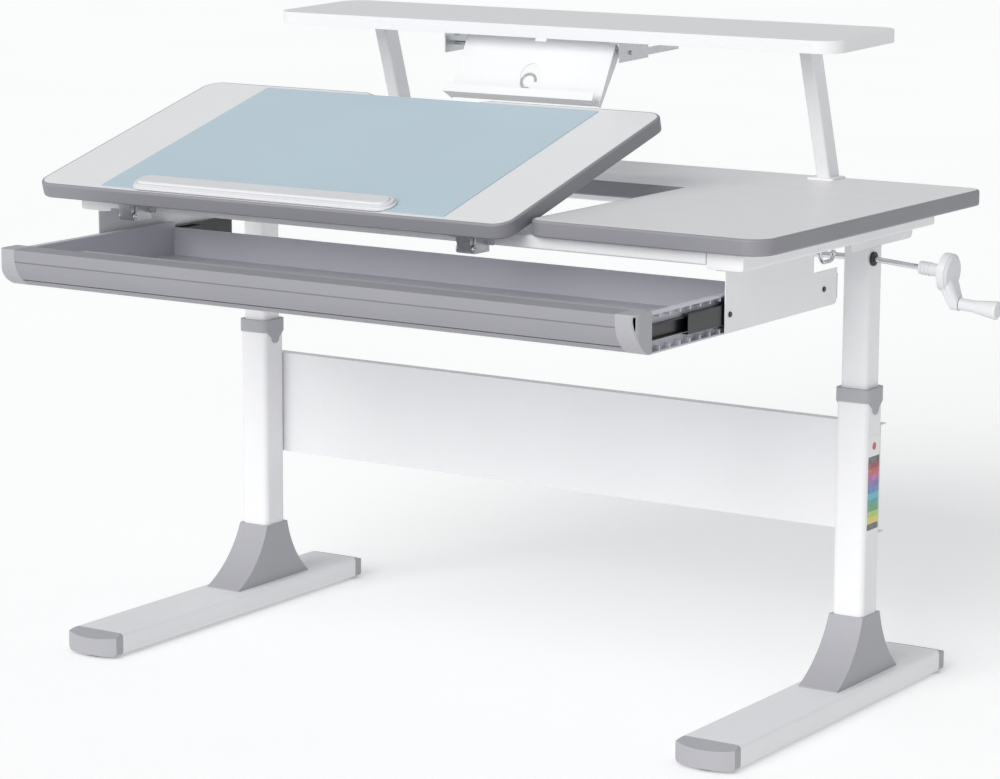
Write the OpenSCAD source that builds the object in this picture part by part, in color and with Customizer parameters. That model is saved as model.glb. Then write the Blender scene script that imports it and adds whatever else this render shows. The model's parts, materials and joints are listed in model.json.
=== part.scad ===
// Height adjustable desk with a tilting board, a drawer, a rear shelf and a crank.
// Millimetres. +X is to the right, -Y is the user's side, +Z is up.
// The desk is drawn as it stands: drawer pulled out, board raised, crank arm down.

/* [Worktop] */
// Width of the whole worktop
top_w = 1200; // [1120:10:1400]
// Distance from the worktop's front edge to its rear edge
top_d = 668; // [650:1:740]
// Thickness of the worktop
top_t = 23; // [18:1:28]
// Height of the worktop above the floor
top_h = 720; // [705:1:760]
// Width of the tilting board
board_w = 827; // [760:1:880]
// Depth of the tilting board
board_d = 443; // [432:1:456]
// Angle of the tilting board
board_tilt = 15.3; // [2:0.1:44]
// Radius of the worktop's front corners
front_corner_r = 36; // [20:1:45]
// Radius of the worktop's rear corners
rear_corner_r = 25; // [15:1:45]
// Radius of the tilting board's corners
board_corner_r = 28; // [15:1:45]
// Thickness of the soft edge band
band_t = 4; // [3:0.5:6]
// Gap between the tilting board and the fixed worktop
board_gap = 4; // [3:0.5:8]

/* [Lower frame] */
// Distance between the two column centres
column_span = 1060; // [1000:1:1072]
// Length of a foot tube
foot_l = 601; // [540:1:660]
// Width of a foot tube
foot_w = 92; // [70:1:100]
// Height of a foot tube
foot_h = 33; // [28:1:40]
// Distance from the foot tube's front end to the column centre
foot_front = 413; // [370:1:430]
// Height of the levelling pads
pad_h = 4; // [4:1:10]
// Side of the square outer column tube
outer_tube = 50; // [48:1:56]
// Side of the square inner column tube
inner_tube = 42; // [38:1:43]
// Height of the upper edge of the column collar
collar_top = 458; // [440:1:470]
// Height of the crossbar sheet
crossbar_h = 159; // [100:1:165]
// Height of the crossbar's lower edge
crossbar_low = 242; // [200:1:250]

/* [Drawer] */
// Half the outer width of the drawer tray
tray_half = 516.5; // [502:0.5:518]
// How far the drawer is pulled out
drawer_out = 182; // [20:1:235]
// Depth of the drawer tray
tray_d = 344; // [300:1:350]
// Height of the drawer's ball bearing slides
slide_h = 35; // [30:1:45]

/* [Shelf and book holder] */
// Width of the rear shelf
shelf_w = 985; // [900:1:1040]
// Depth of the rear shelf
shelf_d = 212; // [208:1:226]
// Height of the shelf's front lower edge above the worktop
shelf_rise = 203; // [194:1:260]
// Width of the book holder's plate
holder_w = 264; // [220:1:300]
// Length of the book holder's plate, hinge to tray
holder_l = 104; // [96:1:110]

/* [Crank] */
// Distance from the crank's axis to the middle of the grip
crank_throw = 41; // [38:1:60]
// Length of the crank's grip
grip_l = 58; // [50:1:75]

/* [Hidden] */
$fn = 48;
white = [0.93, 0.93, 0.94];
laminate = [0.88, 0.88, 0.89];
band_grey = [0.52, 0.52, 0.55];
cap_grey = [0.62, 0.62, 0.65];
drawer_grey = [0.60, 0.60, 0.63];
dark = [0.08, 0.08, 0.09];
bright = [0.78, 0.79, 0.80];
brass = [0.78, 0.63, 0.30];
mat_blue = [0.72, 0.81, 0.85];

part_gap = 0.5;
run_gap = 0.06;
steel_t = 2;
sheet_t = 1.5;
col_x = column_span / 2;
foot_rear = foot_l - foot_front;
foot_top = pad_h + foot_h;
foot_corner_r = 6;
cap_bulge = 12;
cap_side = 16;
cap_slope = 7;
cap_plug = 24;
outer_r = 9;
inner_r = 7;
cover_h = 91;
cover_w = 54;
cover_base_w = 62;
cover_wall = 2.5;
cover_front = 108;
cover_rear = 76;
cover_lip = 2;
cover_sag_front = 12;
cover_sag_rear = 9;
base_plate_t = 5;
base_plate_l = 2 * (cover_rear - cover_wall - 2 * base_plate_t);
collar_h = 19;
collar_w = outer_tube + 5;
collar_cap = 6;
liner_gap = 0.3;
liner_l = 62;
tongue_l = 19;
tongue_w = 42;
tongue_t = 2;
crossbar_flange = 18;
bolt_r = 4;
bolt_hole_r = 4.2;
bolt_head_r = 7;
bolt_head_h = 5;
label_low = 243;
label_h = 146;
label_w = 33;
label_t = 0.3;
screw_r = 6;
neck_r = 4.8;
nut_post_or = 13;
nut_post_ir = 9;
nut_z = 380;
nut_h = 20;
inner_low = 240;
screw_low = 300;

under = top_h - top_t;
rail_h = 24;
rail_low = under - rail_h;
side_rail_w = 56;
head_h = 12;
head_low = rail_low - head_h;
head_w = 48;
shaft_z = rail_low - 29;
shaft_y = -11;
shaft_r = 4.5;
wheel_r = 5.3;
wheel_h = 14;
wheel_room = 6.2;
gearbox_w = inner_tube - 2 * steel_t;
gearbox_h = 50;
gearbox_low = shaft_z - 24;
gearbox_end = 14;
front_y = -420;
rear_y = front_y + top_d;
pocket_left = -top_w / 2 + board_w + board_gap;
front_rail_y = front_y + 17;
rail_front = front_rail_y + 2;
rail_rear = 165;
front_rail_d = 20;
front_rail_h = 19;
rear_rail_y = 117;
strut_rail_y = -262;
strut_rail_d = 20;

panel_x = 530.5;
slide_z = rail_low - 60;
panel_low = slide_z - 25;
panel_front = -397;
panel_rear = -81;
panel_notch = 69;
panel_screws = [panel_front + 12, panel_rear - 39];
slide_front = panel_front;
slide_l = 320;
drawer_closed = -400;
tray_low = slide_z - 27;
tray_top = slide_z + 26;
face_low = slide_z - 24.5;
face_top = slide_z + 29;

board_t = top_t - 0.5;
board_front = front_y - 30;
strip_front = board_front + board_d + 3 * board_gap;
hinge_y = board_front + 12;
hinge_z = under - 22;
hinge_pin_r = 3;
hinge_r = 6;
hinge_w = 22;
hinge_left = -440;
hinge_right = 150;
board_mid = -top_w / 2 + board_w / 2;
mat_l = 602;
mat_d = 420;
mat_t = 1;
stop_l = 450;
stop_d = 45;
stop_h = 10;
strut_y = -230;
strut_z = under - 8;
strut_l = 205;
strut_w = 12;
strut_h = 12;
roller_r = 8;
pivot_r = 4;
strut_left = -380;
strut_right = 110;
strut_back = strut_y - hinge_y;
strut_up = strut_z - hinge_z;
strut_turn = board_tilt + asin((strut_up * (1 - cos(board_tilt)) + strut_back * sin(board_tilt)) / strut_l);

shelf_mid = -26;
shelf_t = 18.6;
shelf_front = 23.6;
shelf_tilt = 1.7;
shelf_corner_r = 35;
leg_w = 22.4;
leg_d = 35;
leg_lean = 18.6;
leg_right = 352.9;
leg_left = -404.9;
leg_front = 212;
holder_x = -45;
holder_y = 58;
holder_z = top_h + shelf_rise - 17;
holder_lean = 28;
holder_t = 1.5;
holder_pin_r = 3;
arm_x = holder_w / 2 + 22;

crank_x = col_x + inner_tube / 2;
crank_droop = 4.5;
crank_rod_r = 4;
crank_rod_l = 74.5;
crank_hub_l = 37;
crank_hub_r = 9;
crank_boss_r = 27;
crank_boss_at = crank_rod_l + crank_hub_l;
crank_boss_t = 14;
crank_end_r = 10;
crank_end_t = 12;
crank_end_at = crank_boss_at + 16.5;
grip_at = crank_end_at + crank_end_t + part_gap;
grip_r = 8.5;
grip_end_r = 14;
grip_pin_r = 3;
bush_r = 7;
// middle of the whole desk's outline seen from above
grip_inset = (crank_throw - grip_end_r + 3) * sin(crank_droop);
crank_reach = crank_x + (grip_at + grip_l) * cos(crank_droop) - grip_inset;
mid_x = (crank_reach - top_w / 2) / 2;
front_depth = 42;
front_bow = 49.4;
cap_proud = 0.6;
drawer_face = drawer_closed - front_depth - drawer_out;
mid_y = (rear_y + drawer_face - cap_proud) / 2;

// ---- shared shapes ----

module at_desk() {
  translate([-mid_x, -mid_y, 0])
    children();
}

// flat rectangle with equal round corners
module round_rect(w, d, r) {
  square([w - 2 * r, d], center = true);
  square([w, d - 2 * r], center = true);
  for (i = [-1, 1], j = [-1, 1])
    translate([i * (w / 2 - r), j * (d / 2 - r)])
      circle(r);
}

// piece taken off one corner of a flat plate to round it
module corner_cut(x, y, sx, sy, r) {
  if (r > 0)
    translate([x, y])
      difference() {
        translate([sx * (r - 1) / 2, sy * (r - 1) / 2])
          square(r + 1, center = true);
        translate([sx * r, sy * r])
          circle(r);
      }
}

// flat plate from x0 to x1 and y0 to y1; corner radii front left, front right, rear left, rear right
module plate(x0, x1, y0, y1, radii) {
  difference() {
    translate([x0, y0])
      square([x1 - x0, y1 - y0]);
    corner_cut(x0, y0, 1, 1, radii[0]);
    corner_cut(x1, y0, -1, 1, radii[1]);
    corner_cut(x0, y1, 1, -1, radii[2]);
    corner_cut(x1, y1, -1, -1, radii[3]);
  }
}

module tube_section(w, d, r, wall) {
  difference() {
    round_rect(w, d, r);
    round_rect(w - 2 * wall, d - 2 * wall, r - wall);
  }
}

// lays a section drawn as [x, z] along +Y
module run_y(length) {
  translate([0, length, 0])
    rotate([90, 0, 0])
      linear_extrude(length)
        children();
}

// lays a section drawn as [y, z] along X, from x = 0
module run_x(length) {
  rotate([90, 0, 90])
    linear_extrude(length)
      children();
}

// round bar along X, from x0 to x1
module bar_x(x0, x1, r) {
  translate([x0, 0, 0])
    rotate([0, 90, 0])
      cylinder(h = x1 - x0, r = r);
}

// hexagon head bolt, head above z = 0, shank below
module hex_bolt(shank) {
  cylinder(h = bolt_head_h, r = bolt_head_r, $fn = 6);
  translate([0, 0, -shank])
    cylinder(h = shank, r = bolt_r);
}

// ---- lower frame ----

module foot(side) {
  color(white)
    difference() {
      translate([side * col_x, -foot_front, pad_h + foot_h / 2])
        run_y(foot_l)
          tube_section(foot_w, foot_h, foot_corner_r, steel_t);
      for (i = [-1, 1], j = [-1, 1])
        translate([side * col_x + i * 14, j * 50, foot_top - steel_t - 1])
          cylinder(h = steel_t + 2, r = bolt_hole_r);
    }
}

// end cap drawn for a tube that ends at y = 0 and points to -Y
module foot_end_cap() {
  bow_r = (foot_w * foot_w / 4 + cap_bulge * cap_bulge) / (2 * cap_bulge);
  reach = cap_side + cap_bulge;
  intersection() {
    translate([0, -reach - 1, pad_h + foot_h / 2])
      run_y(reach + 1)
        round_rect(foot_w, foot_h, foot_corner_r);
    translate([0, bow_r - reach, 0])
      cylinder(h = foot_top + 1, r = bow_r, $fn = 96);
    translate([-foot_w, 0, 0])
      run_x(2 * foot_w)
        polygon([[1, 0], [1, foot_top], [0, foot_top], [-reach, foot_top - cap_slope], [-reach - 2, 0]]);
  }
  translate([0, 0, pad_h + foot_h / 2])
    run_y(cap_plug)
      tube_section(foot_w - 2 * steel_t - 0.2, foot_h - 2 * steel_t - 0.2, foot_corner_r - steel_t, 2);
}

module foot_end_caps() {
  color(cap_grey)
    for (side = [-1, 1]) {
      translate([side * col_x, -foot_front, 0])
        foot_end_cap();
      translate([side * col_x, foot_rear, 0])
        mirror([0, 1, 0])
          foot_end_cap();
    }
}

module foot_pads() {
  color(dark)
    for (side = [-1, 1], y = [6 - foot_front, foot_rear - 6])
      translate([side * col_x, y, 0]) {
        cylinder(h = pad_h - 2, r = 25);
        cylinder(h = pad_h, r = 20);
      }
}

module frame_bolts() {
  color(bright)
    for (side = [-1, 1]) {
      for (i = [-1, 1], j = [-1, 1])
        translate([side * col_x + i * 14, j * 50, foot_top + base_plate_t])
          hex_bolt(base_plate_t + steel_t + 4);
      for (z = [crossbar_low + 24, crossbar_low + crossbar_h - 24])
        translate([side * col_x, outer_tube / 2 + sheet_t, z])
          rotate([-90, 0, 0])
            hex_bolt(sheet_t + steel_t - 0.3);
    }
}

// radius of an arc with this chord and sag
function arc_r(chord, sag) = (chord * chord / 4 + sag * sag) / (2 * sag);

// circle that hollows one flank of the cover between its top corner and its foot
module flank(top_y, foot_y, sag, grow) {
  rise = cover_h - cover_lip;
  run = foot_y - top_y;
  chord = sqrt(rise * rise + run * run);
  r = arc_r(chord, sag);
  out = r - sag;
  translate([(top_y + foot_y) / 2 + out * rise / chord, (cover_h + cover_lip) / 2 + out * run / chord])
    circle(r + grow, $fn = 192);
}

// side view of the column cover, drawn as [y, z - foot_top]
module cover_side(inset) {
  half = cover_w / 2;
  difference() {
    translate([-cover_front + inset, 0])
      square([cover_front + cover_rear - 2 * inset, cover_h - inset]);
    mirror([1, 0])
      flank(half, cover_front, cover_sag_front, inset);
    flank(half, cover_rear, cover_sag_rear, inset);
  }
}

// front view of the column cover, drawn as [x, z - foot_top]
module cover_face(inset) {
  top = cover_w / 2 - inset;
  base = cover_base_w / 2 - inset;
  polygon([[-base, -1], [base, -1], [base, cover_lip], [top, cover_h], [-top, cover_h], [-base, cover_lip]]);
}

module cover_body(inset) {
  intersection() {
    translate([-cover_base_w / 2, 0, 0])
      run_x(cover_base_w)
        cover_side(inset);
    translate([0, -cover_front, 0])
      run_y(cover_front + cover_rear)
        cover_face(inset);
  }
}

module column_cover(side) {
  color(cap_grey)
    translate([side * col_x, 0, foot_top])
      difference() {
        cover_body(0);
        translate([0, 0, -0.01])
          cover_body(cover_wall);
        translate([0, 0, -0.01])
          linear_extrude(cover_h + 1)
            round_rect(outer_tube, outer_tube, outer_r);
      }
}

module outer_column(side) {
  color(white)
    translate([side * col_x, 0, foot_top])
      difference() {
        union() {
          translate([0, 0, base_plate_t])
            linear_extrude(collar_top - collar_cap - foot_top - base_plate_t)
              tube_section(outer_tube, outer_tube, outer_r, steel_t);
          translate([-outer_tube / 2, -base_plate_l / 2, 0])
            cube([outer_tube, base_plate_l, base_plate_t]);
        }
        for (i = [-1, 1], j = [-1, 1])
          translate([i * 14, j * 50, -1])
            cylinder(h = base_plate_t + 2, r = bolt_hole_r);
        for (z = [crossbar_low + 24, crossbar_low + crossbar_h - 24])
          translate([0, outer_tube / 2 + 1, z - foot_top])
            rotate([90, 0, 0])
              cylinder(h = steel_t + 2, r = bolt_hole_r);
      }
}

// tongue of the collar, drawn as [y, z] from the band's lower edge down
module tongue() {
  tip_r = 9;
  translate([0, tip_r - tongue_l])
    circle(tip_r);
  shoulder = tongue_w / 2;
  cheek = tip_r * 0.98;
  polygon([[-shoulder, 0], [shoulder, 0], [cheek, tip_r - tongue_l], [-cheek, tip_r - tongue_l]]);
}

module collar(side) {
  bore = inner_tube + 2 * liner_gap;
  liner = outer_tube - 2 * steel_t;
  color(cap_grey)
    translate([side * col_x, 0, collar_top]) {
      translate([0, 0, -collar_h])
        linear_extrude(collar_h - collar_cap)
          difference() {
            round_rect(collar_w, collar_w, outer_r + 2.5);
            round_rect(outer_tube, outer_tube, outer_r);
          }
      translate([0, 0, -collar_cap])
        linear_extrude(collar_cap)
          difference() {
            round_rect(collar_w, collar_w, outer_r + 2.5);
            round_rect(bore, bore, inner_r + liner_gap);
          }
      translate([0, 0, -collar_cap - liner_l])
        linear_extrude(liner_l)
          difference() {
            round_rect(liner, liner, outer_r - steel_t);
            round_rect(bore, bore, inner_r + liner_gap);
          }
      for (x = [-outer_tube / 2 - tongue_t, outer_tube / 2])
        translate([x, 0, -collar_h])
          run_x(tongue_t)
            tongue();
    }
}

module crossbar() {
  length = column_span + 44;
  color(white)
    translate([-length / 2, outer_tube / 2, crossbar_low])
      difference() {
        run_x(length)
          difference() {
            square([crossbar_flange, crossbar_h]);
            translate([sheet_t, sheet_t])
              square([crossbar_flange, crossbar_h - 2 * sheet_t]);
          }
        for (x = [22, length - 22], z = [24, crossbar_h - 24])
          translate([x, -1, z])
            rotate([-90, 0, 0])
              cylinder(h = sheet_t + 2, r = bolt_hole_r);
      }
}

module nut_posts() {
  low = foot_top + base_plate_t;
  color(bright)
    for (side = [-1, 1])
      translate([side * col_x, 0, low])
        difference() {
          cylinder(h = nut_z - low, r = nut_post_or);
          translate([0, 0, -1])
            cylinder(h = nut_z - low + 2, r = nut_post_ir);
        }
}

module lead_nuts() {
  color(brass)
    for (side = [-1, 1])
      translate([side * col_x, 0, nut_z])
        difference() {
          cylinder(h = nut_h, r = nut_post_or);
          translate([0, 0, -1])
            cylinder(h = nut_h + 2, r = screw_r + run_gap);
        }
}

module height_label() {
  color(brass)
    translate([col_x + outer_tube / 2, -label_w / 2, label_low])
      cube([label_t, label_w, label_h]);
}

// ---- lifting frame ----

module inner_column(side) {
  color(white)
    difference() {
      translate([side * col_x, 0, inner_low])
        linear_extrude(head_low + head_h - steel_t - inner_low)
          tube_section(inner_tube, inner_tube, inner_r, steel_t);
      translate([side * col_x - side * inner_tube / 2, shaft_y, shaft_z])
        bar_x(-4, 4, shaft_r + 1);
      if (side > 0)
        translate([crank_x, shaft_y, shaft_z])
          bar_x(-4, 4, bush_r);
    }
}

module head_beam(side) {
  front = -82;
  length = 189;
  color(white)
    translate([side * col_x, front, head_low])
      intersection() {
        run_y(length)
          difference() {
            translate([-head_w / 2, 0])
              square([head_w, head_h]);
            translate([-head_w / 2 + steel_t, -1])
              square([head_w - 2 * steel_t, head_h - steel_t + 1]);
          }
        translate([-head_w, 0, 0])
          run_x(2 * head_w)
            plate(0, length, 0, head_h, [head_h - 3, head_h - 3, 0, 0]);
      }
}

module side_rail(side) {
  length = rail_rear - rail_front;
  color(white)
    translate([side * (col_x + 2), rail_front, rail_low + rail_h / 2]) {
      run_y(length)
        tube_section(side_rail_w, rail_h, 4, steel_t);
      run_y(steel_t)
        round_rect(side_rail_w - 2 * steel_t, rail_h - 2 * steel_t, 2);
    }
}

// square tube welded between the two side rails
module cross_rail(front, depth, high, top) {
  reach = col_x + 2 - side_rail_w / 2;
  color(white)
    translate([-reach, front + depth / 2, top - high / 2])
      run_x(2 * reach)
        tube_section(depth, high, 3, steel_t);
}

module front_rail() {
  cross_rail(front_rail_y, front_rail_d, front_rail_h, under);
}

module rear_rail() {
  cross_rail(rear_rail_y, rail_h, rail_h, under);
}

// cross rail with two pairs of ears that carry the tilt strut
module strut_rail() {
  cross_rail(strut_rail_y, strut_rail_d, strut_rail_d, under - 2);
  ear_back = strut_y - strut_rail_y - strut_rail_d;
  color(white)
    for (x = [strut_left, strut_right], i = [-1, 1])
      translate([x + i * (strut_w / 2 + 2) - 1.5, strut_y, strut_z])
        run_x(3)
          difference() {
            union() {
              circle(7);
              translate([-ear_back, -7])
                square([ear_back, 14]);
            }
            circle(pivot_r + run_gap);
          }
}

module gearbox(side) {
  color(dark)
    difference() {
      translate([side * col_x, 0, gearbox_low])
        linear_extrude(gearbox_h)
          round_rect(gearbox_w, gearbox_w, inner_r - steel_t);
      translate([side * col_x, 0, gearbox_low - 1])
        cylinder(h = gearbox_h - 2, r = neck_r + run_gap);
      translate([side * col_x, 0, shaft_z - wheel_h / 2 - 1])
        cylinder(h = wheel_h + 2, r = wheel_room);
      translate([side * col_x, shaft_y, shaft_z]) {
        bar_x(-wheel_h / 2 - 1, wheel_h / 2 + 1, wheel_room);
        if (side > 0)
          bar_x(-gearbox_w, gearbox_end + part_gap, shaft_r + run_gap);
        if (side < 0)
          bar_x(-gearbox_end - part_gap, gearbox_w, shaft_r + run_gap);
        if (side > 0)
          bar_x(gearbox_end + part_gap, gearbox_w, wheel_room);
      }
    }
}

module at_crank() {
  translate([crank_x, shaft_y, shaft_z])
    rotate([0, 90 + crank_droop, 0])
      children();
}

module crank_bush() {
  color(dark)
    difference() {
      translate([crank_x, shaft_y, shaft_z]) {
        bar_x(0, 4, bush_r + 3);
        bar_x(-steel_t, 1, bush_r);
      }
      at_crank()
        translate([0, 0, -8])
          cylinder(h = 20, r = crank_rod_r + run_gap);
    }
}

// side panel of the drawer, drawn as [y, z]
module panel_shape() {
  shoulder = rail_low - 34;
  plate(panel_front, panel_rear, panel_low, shoulder, [0, 0, 0, 0]);
  translate([panel_front, shoulder])
    square([panel_rear - panel_notch - panel_front, rail_low - shoulder]);
}

module drawer_panel(side) {
  flange_w = 14;
  flange_l = panel_rear - panel_notch - panel_front;
  color(white) {
    difference() {
      translate([side > 0 ? panel_x : -panel_x - sheet_t, 0, 0])
        run_x(sheet_t)
          difference() {
            panel_shape();
            corner_cut(panel_rear, panel_low, -1, 1, 8);
          }
      for (y = panel_screws)
        translate([side * panel_x, y, slide_z])
          bar_x(-3, 3, 2.1);
    }
    translate([side > 0 ? panel_x - flange_w : -panel_x, panel_front, rail_low - sheet_t])
      cube([flange_w, flange_l, sheet_t]);
  }
}

// one slide member, drawn as [x, z] with its web away from the drawer
module slide_member(web_x, lip_x, high) {
  t = 1.2;
  translate([min(web_x, lip_x), -high / 2])
    difference() {
      square([abs(web_x - lip_x), high]);
      translate([web_x > lip_x ? -t : t, t])
        square([abs(web_x - lip_x), high - 2 * t]);
    }
}

module slide_pair(web_x, lip_x, high, front, holes) {
  for (side = [0, 1])
    mirror([side, 0, 0])
      difference() {
        translate([0, front, slide_z])
          run_y(slide_l)
            slide_member(web_x, lip_x, high);
        if (holes)
          for (y = panel_screws)
            translate([panel_x, y, slide_z])
              bar_x(-3, 1, 2.1);
      }
}

module slide_outer_members() {
  color(dark)
    slide_pair(panel_x, tray_half + 5, slide_h, slide_front, true);
}

module slide_middle_members() {
  color(dark)
    slide_pair(panel_x - 2.5, tray_half + 2.5, slide_h - 8, slide_front - drawer_out / 2, false);
}

module slide_inner_members() {
  color(dark)
    slide_pair(tray_half, tray_half + 7.5, slide_h - 15, slide_front - drawer_out, false);
}

// ---- worktop ----

module worktop_outline(inset) {
  r_pocket = board_corner_r - inset;
  r_front = front_corner_r - inset;
  r_rear = rear_corner_r - inset;
  left = -top_w / 2 + inset;
  right = top_w / 2 - inset;
  plate(pocket_left + inset, right, front_y + inset, rear_y - inset, [r_pocket, r_front, 0, r_rear]);
  plate(left, right, strip_front + inset, rear_y - inset, [r_pocket, 0, r_rear, r_rear]);
}

module worktop_core() {
  color(laminate)
    translate([0, 0, under])
      linear_extrude(top_t)
        worktop_outline(band_t);
}

module worktop_band() {
  color(band_grey)
    translate([0, 0, under])
      linear_extrude(top_t)
        difference() {
          worktop_outline(0);
          worktop_outline(band_t);
        }
}

module bag_hook() {
  rod_r = 3;
  bend = 14;
  tip_bend = 10;
  flat = 16;
  drop = 28;
  color(bright)
    translate([col_x - 16, -100, rail_low - drop]) {
      translate([0, 0, bend])
        cylinder(h = drop - bend, r = rod_r);
      translate([0, bend, bend])
        rotate([0, -90, 0])
          rotate_extrude(angle = 90, start = 180)
            translate([bend, 0])
              circle(rod_r, $fn = 24);
      translate([0, bend, 0])
        rotate([-90, 0, 0])
          cylinder(h = flat, r = rod_r);
      translate([0, bend + flat, tip_bend])
        rotate([0, -90, 0])
          rotate_extrude(angle = 90, start = 90)
            translate([tip_bend, 0])
              circle(rod_r, $fn = 24);
      translate([0, bend + flat + tip_bend, tip_bend])
        sphere(rod_r * 1.5);
    }
}

// ---- shelf and book holder ----

module at_shelf() {
  translate([shelf_mid, shelf_front, top_h + shelf_rise])
    rotate([shelf_tilt, 0, 0])
      children();
}

// holes or screws that fasten the shelf: places in the shelf's own frame
module shelf_fixings() {
  for (x = [leg_left, leg_right], y = [106, 196])
    translate([x - shelf_mid, y, 0])
      children();
  for (i = [-1, 1], y = [22, 62])
    translate([holder_x + i * (arm_x - 8) - shelf_mid, y, 0])
      children();
}

module shelf_board() {
  color(white)
    at_shelf()
      difference() {
        linear_extrude(shelf_t)
          translate([0, shelf_d / 2])
            round_rect(shelf_w, shelf_d, shelf_corner_r);
        shelf_fixings()
          translate([0, 0, -1])
            cylinder(h = 13, r = 3.1);
      }
}

module shelf_leg(x) {
  plate_t = 3;
  foot_d = 45;
  color(white) {
    intersection() {
      translate([x, leg_front, top_h])
        rotate([leg_lean, 0, 0])
          translate([0, leg_d * cos(leg_lean) / 2, -60])
            linear_extrude(shelf_rise + 160)
              tube_section(leg_w, leg_d * cos(leg_lean), 4, steel_t);
      translate([x - leg_w, 0, top_h + plate_t])
        cube([2 * leg_w, rear_y, 2 * shelf_rise]);
      at_shelf()
        translate([x - shelf_mid - leg_w, 0, -2 * shelf_rise])
          cube([2 * leg_w, shelf_d, 2 * shelf_rise - plate_t]);
    }
    translate([x - foot_d / 2, rear_y - foot_d - 3, top_h])
      linear_extrude(plate_t)
        plate(0, foot_d, 0, foot_d, [6, 6, 6, 6]);
    at_shelf()
      difference() {
        translate([x - shelf_mid - leg_w / 2, 95, -plate_t])
          cube([leg_w, 112, plate_t]);
        shelf_fixings()
          translate([0, 0, -plate_t - 1])
            cylinder(h = plate_t + 2, r = 3.1);
      }
  }
}

module frame_screws() {
  color(bright) {
    at_shelf()
      shelf_fixings()
        translate([0, 0, -3]) {
          translate([0, 0, -2.5])
            cylinder(h = 2.5, r = 5);
          cylinder(h = 14, r = 3);
        }
    for (side = [-1, 1], y = panel_screws)
      translate([side * (panel_x + sheet_t), y, slide_z])
        rotate([0, side * 90, 0]) {
          cylinder(h = 2, r = 4);
          translate([0, 0, -3])
            cylinder(h = 3, r = 2);
        }
  }
}

module at_holder() {
  translate([holder_x, holder_y, holder_z])
    rotate([-holder_lean, 0, 0])
      children();
}

// side brackets under the shelf, joined by the book holder's axle
module holder_brackets() {
  color(bright) {
    at_shelf()
      for (i = [-1, 1])
        translate([holder_x - shelf_mid + i * arm_x, 0, 0]) {
          difference() {
            union() {
              translate([-1, 3, -30])
                cube([2, 82, 30]);
              translate([i > 0 ? -17 : 1, 3, -3])
                cube([16, 82, 3]);
              translate([-1, 85, -26])
                cube([2, 90, 11]);
              translate([-1, 165, -15])
                cube([2, 10, 9]);
            }
            for (y = [22, 62])
              translate([-i * 8, y, -4])
                cylinder(h = 5, r = 3.1);
          }
        }
    translate([holder_x, holder_y, holder_z])
      bar_x(-arm_x - 4, arm_x + 4, holder_pin_r);
  }
}

module holder_plate() {
  low = 12 - holder_l;
  face = -9;
  depth = 22;
  lip = 13;
  color(white)
    at_holder()
      difference() {
        union() {
          translate([0, face + holder_t, 0])
            rotate([90, 0, 0])
              linear_extrude(holder_t)
                difference() {
                  translate([-holder_w / 2, low])
                    square([holder_w, holder_l]);
                  translate([-10, 6])
                    square([20, 8]);
                  translate([0, low + 44])
                    circle(18);
                }
          translate([-holder_w / 2, face - depth, low])
            cube([holder_w, depth + holder_t, holder_t]);
          translate([-holder_w / 2, face - depth, low])
            cube([holder_w, holder_t, lip]);
          for (x = [-holder_w / 2, holder_w / 2 - holder_t])
            translate([x, 0, 0])
              run_x(holder_t)
                union() {
                  circle(8);
                  polygon([[face, low], [face + 6, low], [8, -1], [8, 0], [0, 8], [face, 12]]);
                }
        }
        bar_x(-holder_w, holder_w, holder_pin_r + run_gap);
        translate([0, face - 5, low + 16])
          rotate([-90, 0, 0])
            cylinder(h = 10, r = grip_pin_r + run_gap);
      }
}

// hook shaped page clip that turns on a rivet in the holder's plate
module page_clip() {
  low = 12 - holder_l;
  face = -9;
  color(bright)
    at_holder()
      translate([0, face - part_gap, low + 16]) {
        rotate([90, 0, 0])
          linear_extrude(2) {
            circle(7);
            difference() {
              translate([0, 16])
                circle(14);
              translate([0, 16])
                circle(10);
              square([30, 16]);
            }
          }
        rotate([-90, 0, 0])
          cylinder(h = holder_t + 1.5, r = grip_pin_r);
        translate([0, holder_t + 1, 0])
          rotate([-90, 0, 0])
            cylinder(h = 1.5, r = 5);
      }
}

// ---- tilting board ----

module at_board() {
  translate([0, hinge_y, hinge_z])
    rotate([board_tilt, 0, 0])
      translate([0, -hinge_y, -hinge_z])
        children();
}

// recess in the board's rear edge, grown by a margin
module rear_recess(grow) {
  deep = 17;
  wide = 112;
  narrow = 75;
  spread = grow * sqrt(deep * deep + pow(wide - narrow, 2)) / deep;
  slope = (wide - narrow) / deep;
  rear = board_front + board_d;
  top = wide + spread + slope;
  low = narrow + spread - slope * grow;
  translate([board_mid, rear])
    polygon([[-top, 1], [top, 1], [low, -deep - grow], [-low, -deep - grow]]);
}

module board_outline(inset) {
  difference() {
    translate([board_mid, board_front + board_d / 2])
      round_rect(board_w - 2 * inset, board_d - 2 * inset, board_corner_r - inset);
    rear_recess(inset);
  }
}

module board_core() {
  color(laminate)
    at_board()
      translate([0, 0, top_h - board_t])
        linear_extrude(board_t)
          board_outline(band_t);
}

module board_band() {
  color(band_grey)
    at_board()
      translate([0, 0, top_h - board_t])
        linear_extrude(board_t)
          difference() {
            board_outline(0);
            board_outline(band_t);
          }
}

module drawing_mat() {
  color(mat_blue)
    at_board()
      translate([-180, board_front + 10 + mat_d / 2, top_h])
        linear_extrude(mat_t)
          round_rect(mat_l, mat_d, 4);
}

module paper_stop() {
  color(bright)
    at_board()
      translate([-200, board_front + 5 + stop_d / 2, top_h + mat_t]) {
        linear_extrude(3)
          round_rect(stop_l + 6, stop_d, stop_d / 2 - 0.5);
        linear_extrude(stop_h - 3)
          round_rect(stop_l, stop_d - 6, (stop_d - 7) / 2);
        linear_extrude(stop_h)
          round_rect(stop_l - 12, stop_d - 18, (stop_d - 19) / 2);
      }
}

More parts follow.
